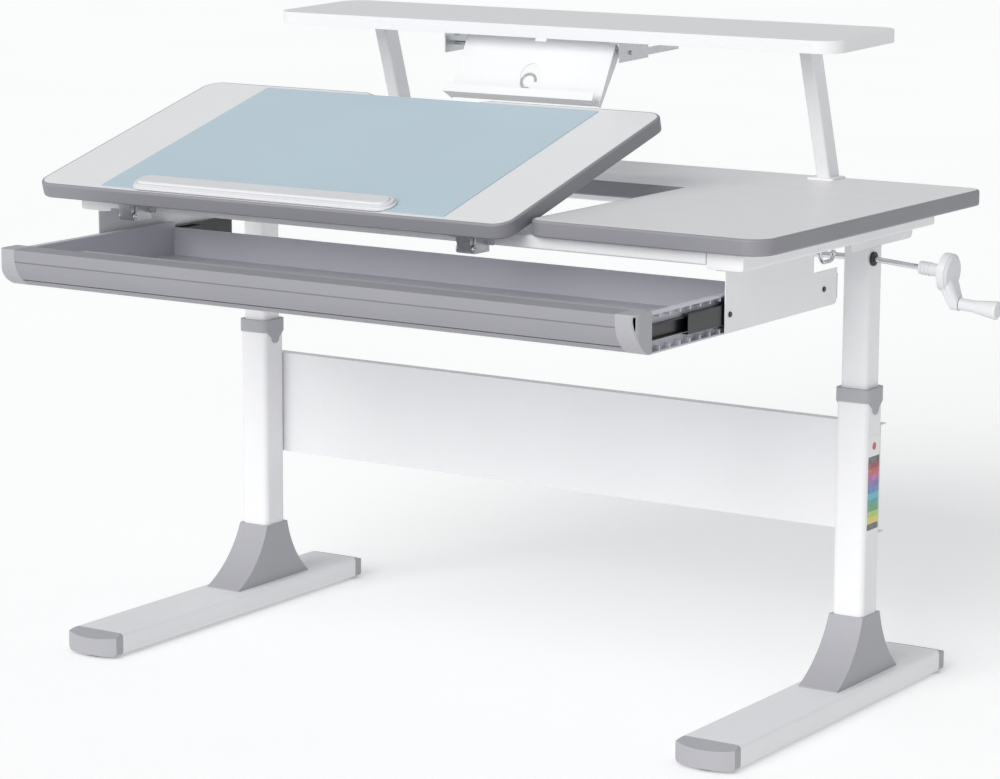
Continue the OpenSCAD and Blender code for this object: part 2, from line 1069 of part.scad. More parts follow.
module hinge_brackets() {
  side_gap = hinge_w / 2 + 0.4;
  rail_mid = under - front_rail_h / 2;
  color(bright)
    for (x = [hinge_left, hinge_right]) {
      translate([x - 22, front_rail_y - 3, under - front_rail_h])
        cube([44, 3, front_rail_h - 3]);
      for (side = [0, 1])
        translate([x, hinge_y, hinge_z])
          mirror([side, 0, 0])
            translate([side_gap, 0, 0])
              run_x(3) {
                circle(hinge_r);
                translate([0, -hinge_r])
                  square([front_rail_y - hinge_y, under - 3 - hinge_z + hinge_r]);
              }
      translate([x, hinge_y, hinge_z])
        bar_x(-side_gap - 4, side_gap + 4, hinge_pin_r);
    }
}

module board_knuckles() {
  up = top_h - board_t - hinge_z;
  color(bright)
    at_board()
      for (x = [hinge_left, hinge_right])
        translate([x, hinge_y, hinge_z]) {
          translate([-hinge_w / 2, 0, 0])
            run_x(hinge_w)
              difference() {
                union() {
                  circle(hinge_r);
                  translate([-hinge_r, 0])
                    square([2 * hinge_r - 3, up]);
                }
                circle(hinge_pin_r + run_gap);
              }
          translate([-22, -hinge_r, up - 3])
            cube([44, hinge_r + 10, 3]);
        }
}

module at_strut() {
  translate([0, strut_y, strut_z])
    rotate([strut_turn, 0, 0])
      children();
}

module tilt_strut() {
  color(white)
    at_strut() {
      for (x = [strut_left, strut_right]) {
        translate([x - strut_w / 2, 0, 0])
          run_x(strut_w) {
            circle(strut_h / 2);
            translate([0, -strut_h / 2])
              square([strut_l, strut_h]);
            translate([strut_l, 0])
              circle(strut_h / 2);
          }
        bar_x(x - strut_w / 2 - 5, x + strut_w / 2 + 5, pivot_r);
        translate([0, strut_l, 0])
          bar_x(x, x + strut_w / 2 + 14, pivot_r);
      }
      translate([0, 0.6 * strut_l, 0])
        bar_x(strut_left, strut_right, strut_h / 2 - 1);
    }
}

module strut_rollers() {
  color(dark)
    at_strut()
      for (x = [strut_left, strut_right])
        translate([x + strut_w / 2, strut_l, 0])
          difference() {
            bar_x(part_gap, 12, roller_r);
            bar_x(-1, 14, pivot_r + run_gap);
          }
}

// ---- drawer ----

module drawer_tray() {
  front = drawer_closed - drawer_out;
  rear = front + tray_d;
  floor_t = 3;
  wall_t = 3;
  low = tray_low;
  top = tray_top;
  rear_top = tray_top - 8;
  arm = 9;
  flange_t = 2.5;
  rib_t = 2;
  rib_step = 26;
  color(drawer_grey) {
    difference() {
      translate([-tray_half, front, low])
        cube([2 * tray_half, tray_d, top - low]);
      translate([-tray_half + wall_t, front + wall_t, low + floor_t])
        cube([2 * (tray_half - wall_t), tray_d - 2 * wall_t, top - low]);
      translate([-tray_half + wall_t, rear - wall_t - 1, rear_top])
        cube([2 * (tray_half - wall_t), wall_t + 2, top - rear_top + 1]);
      translate([-tray_half + 12, rear - 1, low + 10])
        cube([2 * tray_half - 24, 2, rear_top - low - 18]);
    }
    for (side = [0, 1])
      mirror([side, 0, 0]) {
        for (z = [low, top - flange_t])
          translate([tray_half, front, z])
            cube([arm, tray_d, flange_t]);
        for (i = [0 : floor(tray_d / rib_step)]) {
          translate([tray_half, front + i * rib_step, slide_z + slide_h / 2 + 1])
            cube([arm, rib_t, top - slide_z - slide_h / 2 - 1]);
          translate([tray_half, front + i * rib_step, low])
            cube([arm, rib_t, slide_z - slide_h / 2 - 1 - low]);
        }
      }
  }
}

module pen_strip() {
  front = drawer_closed + 3 - drawer_out;
  width = 15;
  t = 2.5;
  top = tray_top + 2;
  low = tray_low + 3;
  color(cap_grey) {
    translate([-418, front, top - t])
      cube([418 + tray_half - 3, width, t]);
    translate([-418, front + width - t, low])
      cube([418 + tray_half - 3, t, top - low]);
  }
}

// section of the drawer front, drawn as [y, z] about the drawer's front edge
module front_section(grow, wall) {
  low = face_low;
  top = face_top;
  intersection() {
    translate([front_bow, top - 7])
      circle(front_bow + grow - wall, $fn = 128);
    translate([-grow + wall, low - grow + wall])
      square([front_depth + grow - 2 * wall, top - low + 2 * grow - 2 * wall]);
  }
}

module front_groove(z, high, deep) {
  intersection() {
    difference() {
      translate([front_bow, face_top - 7])
        circle(front_bow + 2, $fn = 128);
      translate([front_bow, face_top - 7])
        circle(front_bow - deep, $fn = 128);
    }
    translate([-2, z])
      square([30, high]);
  }
}

module drawer_front() {
  half = tray_half - 17.8;
  color(drawer_grey)
    translate([-half, drawer_face, 0])
      run_x(2 * half)
        difference() {
          front_section(0, 0);
          front_section(0, 2.5);
          front_groove(face_top - 18, 1.6, 1.4);
          front_groove(face_low + 8, 1.6, 1.4);
        }
}

module drawer_end_caps() {
  inner = tray_half - 17.8;
  outer = tray_half + 13.2;
  color(cap_grey)
    for (side = [0, 1])
      mirror([side, 0, 0])
        intersection() {
          difference() {
            translate([inner, drawer_face, 0])
              run_x(outer - inner)
                front_section(cap_proud, 0);
            translate([inner - 1, drawer_face, 0])
              run_x(outer - inner - 2)
                front_section(0, 2.5);
          }
          translate([0, 0, 500])
            linear_extrude(200)
              plate(inner, outer, drawer_face - 1, drawer_face + 50, [0, 14, 0, 0]);
        }
}

// ---- crank and drive ----

module crank_rod() {
  inside = 4;
  color(bright)
    at_crank()
      translate([0, 0, -inside])
        cylinder(h = crank_rod_l + inside + 20, r = crank_rod_r);
}

module crank_arm() {
  color(white)
    at_crank()
      difference() {
        union() {
          translate([0, 0, crank_rod_l])
            cylinder(h = crank_hub_l + 1, r = crank_hub_r);
          translate([0, 0, crank_boss_at])
            cylinder(h = crank_boss_t - 3, r = crank_boss_r);
          translate([0, 0, crank_boss_at + crank_boss_t - 4])
            cylinder(h = 4, r1 = crank_boss_r, r2 = crank_boss_r - 4);
          hull() {
            translate([6, 0, crank_boss_at + 1])
              cylinder(h = 8, r = 20, $fn = 32);
            translate([crank_throw, 0, crank_end_at])
              cylinder(h = crank_end_t, r = crank_end_r, $fn = 32);
          }
          translate([crank_throw, 0, crank_end_at])
            cylinder(h = crank_end_t + grip_l - 4, r = grip_pin_r);
        }
        translate([0, 0, crank_rod_l - 1])
          cylinder(h = 21, r = crank_rod_r);
      }
}

module crank_grip() {
  color(white)
    at_crank()
      translate([crank_throw, 0, grip_at])
        rotate_extrude()
          polygon([
            [grip_pin_r + run_gap, 0], [grip_r, 0], [grip_r, grip_l * 0.35],
            [grip_end_r - 1, grip_l - 4], [grip_end_r - 1, grip_l - 1.5],
            [grip_end_r - 3, grip_l], [0, grip_l], [0, grip_l - 3],
            [grip_pin_r + run_gap, grip_l - 3]
          ]);
}

module lead_screw(side) {
  color(bright)
    translate([side * col_x, 0, 0]) {
      translate([0, 0, screw_low])
        cylinder(h = gearbox_low - part_gap - screw_low, r = screw_r);
      translate([0, 0, gearbox_low - 2])
        cylinder(h = gearbox_h - 5, r = neck_r);
      translate([0, 0, shaft_z - wheel_h / 2])
        cylinder(h = wheel_h, r = wheel_r);
    }
}

module cross_shaft() {
  end = col_x + gearbox_end;
  color(bright)
    translate([0, shaft_y, shaft_z]) {
      bar_x(-end, end, shaft_r);
      for (side = [-1, 1])
        translate([side * col_x, 0, 0])
          bar_x(-wheel_h / 2, wheel_h / 2, wheel_r);
    }
}

at_desk() foot(-1);  // foot_left
at_desk() foot(1);  // foot_right
at_desk() foot_end_caps();
at_desk() foot_pads();
at_desk() frame_bolts();
at_desk() column_cover(-1);  // column_cover_left
at_desk() column_cover(1);  // column_cover_right
at_desk() outer_column(-1);  // outer_tube_left
at_desk() outer_column(1);  // outer_tube_right
at_desk() collar(-1);  // collar_left
at_desk() collar(1);  // collar_right
at_desk() crossbar();
at_desk() nut_posts();
at_desk() lead_nuts();
at_desk() height_label();
at_desk() inner_column(-1);  // inner_tube_left
at_desk() inner_column(1);  // inner_tube_right
at_desk() head_beam(-1);  // head_beam_left
at_desk() head_beam(1);  // head_beam_right
at_desk() side_rail(-1);  // side_rail_left
at_desk() side_rail(1);  // side_rail_right
at_desk() front_rail();
at_desk() rear_rail();
at_desk() strut_rail();
at_desk() gearbox(-1);  // gearbox_left
at_desk() gearbox(1);  // gearbox_right
at_desk() crank_bush();
at_desk() drawer_panel(-1);  // drawer_panel_left
at_desk() drawer_panel(1);  // drawer_panel_right
at_desk() slide_outer_members();
at_desk() worktop_core();
at_desk() worktop_band();
at_desk() shelf_board();
at_desk() shelf_leg(leg_left);  // shelf_leg_left
at_desk() shelf_leg(leg_right);  // shelf_leg_right
at_desk() frame_screws();
at_desk() holder_brackets();
at_desk() bag_hook();
at_desk() hinge_brackets();
at_desk() board_core();
at_desk() board_band();
at_desk() drawing_mat();
at_desk() paper_stop();
at_desk() board_knuckles();
at_desk() tilt_strut();
at_desk() strut_rollers();
at_desk() drawer_tray();
at_desk() pen_strip();
at_desk() drawer_front();
at_desk() drawer_end_caps();
at_desk() slide_inner_members();
at_desk() slide_middle_members();
at_desk() crank_rod();
at_desk() crank_arm();
at_desk() crank_grip();
at_desk() lead_screw(-1);  // lead_screw_left
at_desk() lead_screw(1);  // lead_screw_right
at_desk() cross_shaft();
at_desk() holder_plate();
at_desk() page_clip();
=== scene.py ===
import json
import logging
import math
from dataclasses import dataclass
from enum import Enum
from typing import Callable

import bmesh
import bpy
from mathutils import Matrix, Vector
from mathutils.bvhtree import BVHTree


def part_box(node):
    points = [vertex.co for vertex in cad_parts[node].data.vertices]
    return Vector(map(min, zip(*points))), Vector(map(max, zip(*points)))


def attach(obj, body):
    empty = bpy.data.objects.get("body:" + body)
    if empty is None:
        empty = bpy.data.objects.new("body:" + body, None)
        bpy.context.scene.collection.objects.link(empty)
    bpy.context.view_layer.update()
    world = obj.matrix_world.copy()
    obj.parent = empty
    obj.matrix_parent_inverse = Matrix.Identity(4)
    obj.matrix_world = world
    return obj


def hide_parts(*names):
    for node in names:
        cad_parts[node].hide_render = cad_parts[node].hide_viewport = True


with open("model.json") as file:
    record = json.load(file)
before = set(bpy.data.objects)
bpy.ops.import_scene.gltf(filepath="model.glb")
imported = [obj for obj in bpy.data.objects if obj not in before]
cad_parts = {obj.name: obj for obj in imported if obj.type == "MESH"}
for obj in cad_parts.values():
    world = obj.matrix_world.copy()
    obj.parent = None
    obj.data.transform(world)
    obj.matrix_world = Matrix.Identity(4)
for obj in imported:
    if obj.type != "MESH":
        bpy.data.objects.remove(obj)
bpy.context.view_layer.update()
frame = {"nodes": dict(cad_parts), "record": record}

LOG = logging.getLogger("desk")
Colour = tuple[float, float, float, float]
BODY_OF: dict[str, str] = {
    node: body
    for body, nodes in frame["record"]["behaviour"]["bodies"].items()
    for node in nodes
}
SLOT_OF: dict[str, str] = {
    part["node"]: part["material_slot"] for part in frame["record"]["subparts"]
}


class Grain(Enum):
    """Direction in which a metal was drawn or brushed, as noise scales along X, Y and Z."""

    ALONG_X = (30.0, 900.0, 900.0)
    ALONG_Z = (900.0, 900.0, 30.0)
    NONE = (400.0, 400.0, 400.0)


# ---------------------------------------------------------------- colours


def linear(code: str, factor: float = 1.0) -> Colour:
    """Turns a hex colour into linear light.

    Args:
        code: six hex digits, as in "E6E6E8".
        factor: multiplier on the linear values.

    Returns:
        Red, green, blue and alpha for a shader socket.
    """
    parts = []
    for at in (0, 2, 4):
        value = int(code[at:at + 2], 16) / 255.0
        flat = value / 12.92 if value <= 0.04045 else ((value + 0.055) / 1.055) ** 2.4
        parts.append(min(1.0, flat * factor))
    return (parts[0], parts[1], parts[2], 1.0)


# ---------------------------------------------------------------- finishes


class Graph:
    """A material's node tree with short calls for the patterns that the finishes share."""

    def __init__(self, name: str) -> None:
        """Starts a material whose patterns all read Object coordinates."""
        self.material = bpy.data.materials.new(name)
        self.material.use_nodes = True
        self.nodes = self.material.node_tree.nodes
        self.links = self.material.node_tree.links
        self.shader = self.nodes["Principled BSDF"]
        self.place = self.nodes.new("ShaderNodeTexCoord").outputs["Object"]

    def mapped(self, scale: tuple[float, float, float]) -> bpy.types.NodeSocket:
        """Object coordinates stretched by a scale for each axis."""
        node = self.nodes.new("ShaderNodeMapping")
        node.inputs["Scale"].default_value = scale
        self.links.new(self.place, node.inputs["Vector"])
        return node.outputs["Vector"]

    def noise(
        self,
        scale: float,
        detail: float = 3.0,
        place: bpy.types.NodeSocket | None = None,
    ) -> bpy.types.NodeSocket:
        """Adds a noise pattern.

        Args:
            scale: cells per metre, or 1 where the place is already scaled.
            detail: number of finer octaves.
            place: coordinates to read, Object coordinates if not given.

        Returns:
            The noise value, from 0 to 1.
        """
        node = self.nodes.new("ShaderNodeTexNoise")
        node.inputs["Scale"].default_value = scale
        node.inputs["Detail"].default_value = detail
        self.links.new(place or self.place, node.inputs["Vector"])
        return node.outputs["Fac"]

    def cells(self, scale: float) -> bpy.types.NodeSocket:
        """Distance to the middle of irregular cells, for zinc flowers and pits."""
        node = self.nodes.new("ShaderNodeTexVoronoi")
        node.inputs["Scale"].default_value = scale
        self.links.new(self.place, node.inputs["Vector"])
        return node.outputs["Distance"]

    def along(self, axis: int) -> bpy.types.NodeSocket:
        """One component of the Object coordinates, in metres."""
        node = self.nodes.new("ShaderNodeSeparateXYZ")
        self.links.new(self.place, node.inputs["Vector"])
        return node.outputs[axis]

    def edge(self) -> bpy.types.NodeSocket:
        """The softened-edge mark that a finely shaped piece carries."""
        node = self.nodes.new("ShaderNodeAttribute")
        node.attribute_name = "edge"
        return node.outputs["Fac"]

    def span(
        self,
        value: bpy.types.NodeSocket,
        source: tuple[float, float],
        target: tuple[float, float],
    ) -> bpy.types.NodeSocket:
        """Maps a value from one range to another.

        Args:
            value: the socket to map.
            source: low and high of the incoming value.
            target: low and high of the result.

        Returns:
            The mapped value, kept inside the target range.
        """
        node = self.nodes.new("ShaderNodeMapRange")
        node.inputs["From Min"].default_value = source[0]
        node.inputs["From Max"].default_value = source[1]
        node.inputs["To Min"].default_value = target[0]
        node.inputs["To Max"].default_value = target[1]
        self.links.new(value, node.inputs["Value"])
        return node.outputs["Result"]

    def sum(
        self, first: bpy.types.NodeSocket, second: bpy.types.NodeSocket, share: float
    ) -> bpy.types.NodeSocket:
        """Adds a share of the second value to the first."""
        node = self.nodes.new("ShaderNodeMath")
        node.operation = "MULTIPLY_ADD"
        node.inputs[1].default_value = share
        self.links.new(second, node.inputs[0])
        self.links.new(first, node.inputs[2])
        return node.outputs[0]

    def product(
        self, first: bpy.types.NodeSocket, second: bpy.types.NodeSocket
    ) -> bpy.types.NodeSocket:
        """Multiplies two values."""
        node = self.nodes.new("ShaderNodeMath")
        node.operation = "MULTIPLY"
        self.links.new(first, node.inputs[0])
        self.links.new(second, node.inputs[1])
        return node.outputs[0]

    def ramp(
        self,
        value: bpy.types.NodeSocket,
        stops: list[tuple[float, Colour]],
        stepped: bool = False,
    ) -> bpy.types.NodeSocket:
        """Turns a value into a colour.

        Args:
            value: the socket to colour, from 0 to 1.
            stops: positions and their colours, in order.
            stepped: True for bands with hard borders.

        Returns:
            The colour socket.
        """
        node = self.nodes.new("ShaderNodeValToRGB")
        scale = node.color_ramp
        scale.interpolation = "CONSTANT" if stepped else "LINEAR"
        while len(scale.elements) < len(stops):
            scale.elements.new(1.0)
        for element, (at, colour) in zip(scale.elements, stops):
            element.position = at
            element.color = colour
        self.links.new(value, node.inputs["Fac"])
        return node.outputs["Color"]

    def mix(
        self,
        share: bpy.types.NodeSocket,
        first: bpy.types.NodeSocket,
        second: Colour,
    ) -> bpy.types.NodeSocket:
        """Mixes a fixed colour over a colour socket.

        Args:
            share: how much of the second colour shows.
            first: the colour below.
            second: the colour laid over it.

        Returns:
            The mixed colour.
        """
        node = self.nodes.new("ShaderNodeMix")
        node.data_type = "RGBA"
        self.links.new(share, node.inputs[0])
        self.links.new(first, node.inputs[6])
        node.inputs[7].default_value = second
        return node.outputs[2]

    def relief(self, height: bpy.types.NodeSocket, depth: float) -> None:
        """Bends the surface normal by a height pattern of this depth in metres."""
        node = self.nodes.new("ShaderNodeBump")
        node.inputs["Strength"].default_value = 1.0
        node.inputs["Distance"].default_value = depth
        self.links.new(height, node.inputs["Height"])
        self.links.new(node.outputs["Normal"], self.shader.inputs["Normal"])

    def feed(self, socket: bpy.types.NodeSocket, name: str) -> None:
        """Links a socket to one of the shader's inputs."""
        self.links.new(socket, self.shader.inputs[name])

    def fixed(self, **values: float) -> None:
        """Sets plain numbers on the shader; underscores stand for spaces."""
        for name, value in values.items():
            self.shader.inputs[name.replace("_", " ")].default_value = value


@dataclass(frozen=True)
class Finish:
    """A surface: its colour, gloss and the size and depth of its grain."""

    name: str
    colour: str
    roughness: float
    grain: float = 700.0
    depth: float = 0.00004
    cloud: float = 0.05

    def build(self) -> bpy.types.Material:
        """Makes the node material."""
        graph = Graph(self.name)
        self.shade(graph)
        return graph.material

    def tone(self, graph: Graph, low: float = 1.0) -> bpy.types.NodeSocket:
        """The colour with soft clouds and a fine speckle.

        Args:
            graph: the material to draw in.
            low: brightness of the darkest clouds before the cloud depth.

        Returns:
            The colour socket.
        """
        clouds = graph.sum(graph.noise(5.0, 4.0), graph.noise(260.0, 2.0), 0.35)
        return graph.ramp(
            graph.span(clouds, (0.45, 0.95), (0.0, 1.0)),
            [(0.0, linear(self.colour, low - self.cloud)), (1.0, linear(self.colour, 1.0))],
        )

    def gloss(self, graph: Graph, swing: float) -> None:
        """Roughness with smears from handling."""
        smears = graph.noise(1.0, 3.0, graph.mapped((9.0, 9.0, 26.0)))
        low = max(0.03, self.roughness - swing)
        graph.feed(graph.span(smears, (0.3, 0.7), (low, self.roughness + swing)), "Roughness")

    def shade(self, graph: Graph) -> None:
        """Default surface: clouds, smears and an even fine grain."""
        graph.feed(self.tone(graph), "Base Color")
        self.gloss(graph, 0.06)
        graph.relief(graph.noise(self.grain, 3.0), self.depth)


@dataclass(frozen=True)
class PowderCoat(Finish):
    """Baked powder paint on steel, with a slight orange peel and edges rubbed darker in patches.
    """

    def shade(self, graph: Graph) -> None:
        """Orange peel, handling smears and edges rubbed a little darker in patches."""
        rubbed = graph.product(
            graph.edge(), graph.span(graph.noise(45.0, 4.0), (0.5, 0.62), (0.0, 0.5))
        )
        tone = graph.mix(rubbed, self.tone(graph), linear(self.colour, 0.86))
        graph.feed(tone, "Base Color")
        self.gloss(graph, 0.07)
        peel = graph.sum(graph.noise(self.grain, 2.0), graph.noise(self.grain * 3.7, 2.0), 0.35)
        graph.relief(peel, self.depth)
        graph.fixed(Coat_Weight=0.12, Coat_Roughness=0.25)


@dataclass(frozen=True)
class MouldedPlastic(Finish):
    """Injection moulded plastic with an eroded mould texture and edges painted lighter, as wear
    and as a painted highlight.
    """

    def shade(self, graph: Graph) -> None:
        """Mould grain with pits, flow clouds and rounded edges painted lighter, as wear and as a
        painted highlight.
        """
        # Every rounded edge is painted lighter: partly wear, partly a painted highlight.
        worn_edge_and_highlight = graph.span(graph.edge(), (0.0, 1.0), (0.0, 0.45))
        graph.feed(graph.mix(worn_edge_and_highlight, self.tone(graph), linear(self.colour, 1.12)), "Base Color")
        self.gloss(graph, 0.05)
        pits = graph.sum(graph.noise(self.grain, 3.0), graph.cells(self.grain * 0.8), -0.4)
        graph.relief(pits, self.depth)


@dataclass(frozen=True)
class Laminate(Finish):
    """Pressed melamine surface with a pearl speckle and a satin skin."""

    def shade(self, graph: Graph) -> None:
        """Fine two-tone speckle, faint wipe marks and a shallow pressed texture."""
        speckle = graph.ramp(
            graph.noise(1500.0, 2.0),
            [
                (0.38, linear(self.colour, 0.93)),
                (0.5, linear(self.colour, 1.0)),
                (0.66, linear(self.colour, 1.035)),
            ],
        )
        broad = graph.span(graph.noise(2.2, 3.0), (0.35, 0.75), (0.0, self.cloud * 4.0))
        graph.feed(graph.mix(broad, speckle, linear(self.colour, 0.94)), "Base Color")
        wiped = graph.noise(1.0, 4.0, graph.mapped((3.0, 22.0, 3.0)))
        graph.feed(
            graph.span(wiped, (0.3, 0.7), (self.roughness - 0.05, self.roughness + 0.07)),
            "Roughness",
        )
        graph.relief(graph.noise(self.grain, 4.0), self.depth)


@dataclass(frozen=True)
class BareMetal(Finish):
    """Plated, drawn or turned metal; the grain follows the piece."""

    run: Grain = Grain.NONE
    stain: float = 0.1

    def shade(self, graph: Graph) -> None:
        """Drawn lines, faint stains and a changing polish."""
        lines = graph.noise(1.0, 3.0, graph.mapped(self.run.value))
        flowers = graph.sum(graph.cells(120.0), graph.noise(14.0, 4.0), 0.8)
        tone = graph.ramp(
            graph.span(flowers, (0.3, 1.0), (0.0, 1.0)),
            [(0.0, linear(self.colour, 1.0 - self.stain)), (1.0, linear(self.colour, 1.0))],
        )
        graph.feed(tone, "Base Color")
        high = self.roughness + 0.16
        graph.feed(graph.span(lines, (0.3, 0.72), (self.roughness, high)), "Roughness")
        graph.relief(lines, self.depth)
        graph.fixed(Metallic=1.0)


@dataclass(frozen=True)
class CuttingMat(Finish):
    """Soft vinyl sheet with a leather-like print."""

    def shade(self, graph: Graph) -> None:
        """Pebbled skin, slight fading and a dull sheen."""
        graph.feed(self.tone(graph), "Base Color")
        self.gloss(graph, 0.05)
        skin = graph.sum(graph.cells(self.grain), graph.noise(self.grain * 2.6, 3.0), 0.6)
        graph.relief(skin, self.depth)
        graph.fixed(Sheen_Weight=0.15, Sheen_Roughness=0.5)


@dataclass(frozen=True)
class HeightScale(Finish):
    """Printed sticker: coloured bands one above the other below a plain mark."""

    low: float = 0.25
    high: float = 0.35
    mark: tuple[float, float, float] = (0.0, 0.0, 0.0)
    mark_r: float = 0.0055
    bands_from: float = 0.07
    bands_to: float = 0.80
    bands: tuple[str, ...] = (
        "4A4A50", "D9CB5A", "A9C85C", "4E9E63", "3F9C96", "57B4C9",
        "4C7FB8", "7A62A6", "B0569A", "BF4545", "93323A", "4A4A50",
    )

    def shade(self, graph: Graph) -> None:
        """Bands by height with a plain disc above them, under a clear film."""
        up = graph.span(graph.along(2), (self.low, self.high), (0.0, 1.0))
        step = (self.bands_to - self.bands_from) / len(self.bands)
        stops: list[tuple[float, Colour]] = [(0.0, linear("E6E6E6"))]
        for index, code in enumerate(self.bands):
            stops.append((self.bands_from + index * step, linear(code, 0.95)))
        stops.append((self.bands_to, linear("E6E6E6")))
        bars = graph.ramp(up, stops, stepped=True)
        away = graph.nodes.new("ShaderNodeVectorMath")
        away.operation = "DISTANCE"
        away.inputs[1].default_value = self.mark
        graph.links.new(graph.place, away.inputs[0])
        disc = graph.span(away.outputs["Value"], (self.mark_r, self.mark_r + 0.0004), (1.0, 0.0))
        marked = graph.mix(disc, bars, linear("B8434A"))
        faded = graph.span(graph.noise(90.0, 4.0), (0.45, 0.8), (0.0, 0.2))
        graph.feed(graph.mix(faded, marked, linear("DADADA")), "Base Color")
        self.gloss(graph, 0.04)
        graph.relief(graph.noise(self.grain, 3.0), self.depth)
        graph.fixed(Coat_Weight=0.4, Coat_Roughness=0.12)


class Palette:
    """Every finish of the desk as a built material, by the record's slot names."""

    def __init__(self) -> None:
        """Builds the finishes once."""
        label_low, label_high = corners("height_label")
        label_middle = (label_low + label_high) / 2
        label_mark = label_low.z + 0.9 * (label_high.z - label_low.z)
        finishes: dict[str, Finish] = {
            "white_steel": PowderCoat("powder_white", "E8E8EA", 0.42, 650.0, 0.00005, 0.04),
            "grey_plastic": MouldedPlastic("moulded_grey", "A6A6AB", 0.46, 1300.0, 0.00004),
            "rubber": MouldedPlastic("rubber_black", "1B1B1C", 0.74, 900.0, 0.00008, 0.2),
            "zinc_steel": BareMetal("zinc_plate", "C6C8CA", 0.26, 300.0, 0.00002),
            "brass": BareMetal("turned_brass", "C9A24E", 0.24, 300.0, 0.00002, 0.05),
            "label": HeightScale(
                "height_scale_print", "EDEDED", 0.4, 1200.0, 0.00001,
                low=label_low.z, high=label_high.z,
                mark=(label_middle.x, label_middle.y, label_mark),
            ),
            "black_plastic": MouldedPlastic("moulded_black", "232325", 0.5, 1100.0, 0.00004, 0.15),
            "black_steel": PowderCoat("slide_black", "1A1B1D", 0.34, 900.0, 0.00003, 0.2),
            "laminate_board": Laminate("laminate_pearl", "E3E3E5", 0.40, 2100.0, 0.000015, 0.03),
            "edge_band": MouldedPlastic("edge_band_grey", "89898F", 0.5, 1000.0, 0.00003, 0.06),
            "chrome_rod": BareMetal(
                "chrome", "DADCDF", 0.08, 300.0, 0.00001, 0.04, Grain.ALONG_X,
            ),
            "blue_mat": CuttingMat("mat_blue", "B3C7D2", 0.55, 850.0, 0.00006, 0.04),
            "pale_plastic": MouldedPlastic("moulded_pale", "D6D6D9", 0.36, 1400.0, 0.00003, 0.04),
            "drawer_plastic": MouldedPlastic("drawer_grey", "919197", 0.48, 1100.0, 0.00005),
            "light_grey_plastic": MouldedPlastic("moulded_light", "A5A5AA", 0.42, 1200.0, 0.00004),
        }
        self.by_slot = {slot: finish.build() for slot, finish in finishes.items()}
        # The drawer tray gets a paler grey than the drawer plastic: painted light that lifts the
        # shade inside the drawer.
        self.tray_painted_light = MouldedPlastic("tray_grey_painted_light", "C6C7CF", 0.5, 1100.0, 0.00005).build()
        self.drawn_z = BareMetal(
            "screw_steel", "B9BBBE", 0.2, 300.0, 0.00002, 0.1, Grain.ALONG_Z
        ).build()

    def of(self, node: str) -> bpy.types.Material:
        """The material of a CAD node's slot, or for the drawer tray a paler grey that paints light
        into its shaded inside.
        """
        return self.tray_painted_light if node == "drawer_tray" else self.by_slot[SLOT_OF[node]]


# ---------------------------------------------------------------- mesh craft


def corners(node: str) -> tuple[Vector, Vector]:
    """Lowest and highest corner of a CAD node, as vectors."""
    low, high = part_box(node)
    return Vector(low), Vector(high)


def copied(node: str, flatten: bool = True) -> bmesh.types.BMesh:
    """Copies a CAD node's mesh and joins its loose triangles.

    Args:
        node: name of the CAD node.
        flatten: True to join the triangles of each flat face.

    Returns:
        A new bmesh with shared vertices.
    """
    shape = bmesh.new()
    shape.from_mesh(frame["nodes"][node].data)
    bmesh.ops.remove_doubles(shape, verts=shape.verts, dist=0.00001)
    bmesh.ops.dissolve_degenerate(shape, dist=0.000005, edges=shape.edges)
    if flatten:
        bmesh.ops.dissolve_limit(
            shape, angle_limit=math.radians(0.4), verts=shape.verts, edges=shape.edges
        )
    return shape


def soften(
    shape: bmesh.types.BMesh,
    width: float,
    segments: int = 2,
    wanted: Callable[[bmesh.types.BMEdge], bool] | None = None,
    sharper: float = 28.0,
) -> None:
    """Rounds the sharp edges and marks the rounded faces for wear and painted edge highlights.

    Args:
        shape: the mesh to change.
        width: width of the rounding in metres.
        segments: number of facets across the rounding.
        wanted: optional test that picks the edges to round.
        sharper: least angle in degrees between two faces that counts as an edge.
    """
    layer = shape.loops.layers.float.get("edge") or shape.loops.layers.float.new("edge")
    limit = math.radians(sharper)
    sharp = [
        edge
        for edge in shape.edges
        if len(edge.link_faces) == 2
        and edge.calc_face_angle(0.0) > limit
        and (wanted is None or wanted(edge))
    ]
    made = bmesh.ops.bevel(
        shape, geom=sharp, offset=width, segments=segments, profile=0.5,
        affect="EDGES", clamp_overlap=True,
    )
    for face in made["faces"]:
        for loop in face.loops:
            loop[layer] = 1.0


def piece(
    name: str,
    shape: bmesh.types.BMesh,
    material: bpy.types.Material,
    smooth: float = 40.0,
) -> bpy.types.Object:
    """Turns a bmesh into a finished object at the origin.

    Args:
        name: name of the new object.
        shape: the mesh, which is freed.
        material: its finish.
        smooth: greatest angle in degrees that is shaded smooth.

    Returns:
        The new object.
    """
    mesh = bpy.data.meshes.new(name)
    shape.to_mesh(mesh)
    shape.free()
    return dressed(name, mesh, material, smooth)


def dressed(
    name: str, mesh: bpy.types.Mesh, material: bpy.types.Material, smooth: float = 40.0
) -> bpy.types.Object:
    """Links a mesh as an object with one material and clean shading.

    Args:
        name: name of the new object.
        mesh: its mesh.
        material: its finish.
        smooth: greatest angle in degrees that is shaded smooth.

    Returns:
        The new object.
    """
    mesh.materials.clear()
    mesh.materials.append(material)
    for polygon in mesh.polygons:
        polygon.use_smooth = True
        polygon.material_index = 0
    mesh.set_sharp_from_angle(angle=math.radians(smooth))
    made = bpy.data.objects.new(name, mesh)
    bpy.context.scene.collection.objects.link(made)
    level = made.modifiers.new("even_shading", "WEIGHTED_NORMAL")
    level.keep_sharp = True
    level.weight = 80
    return made


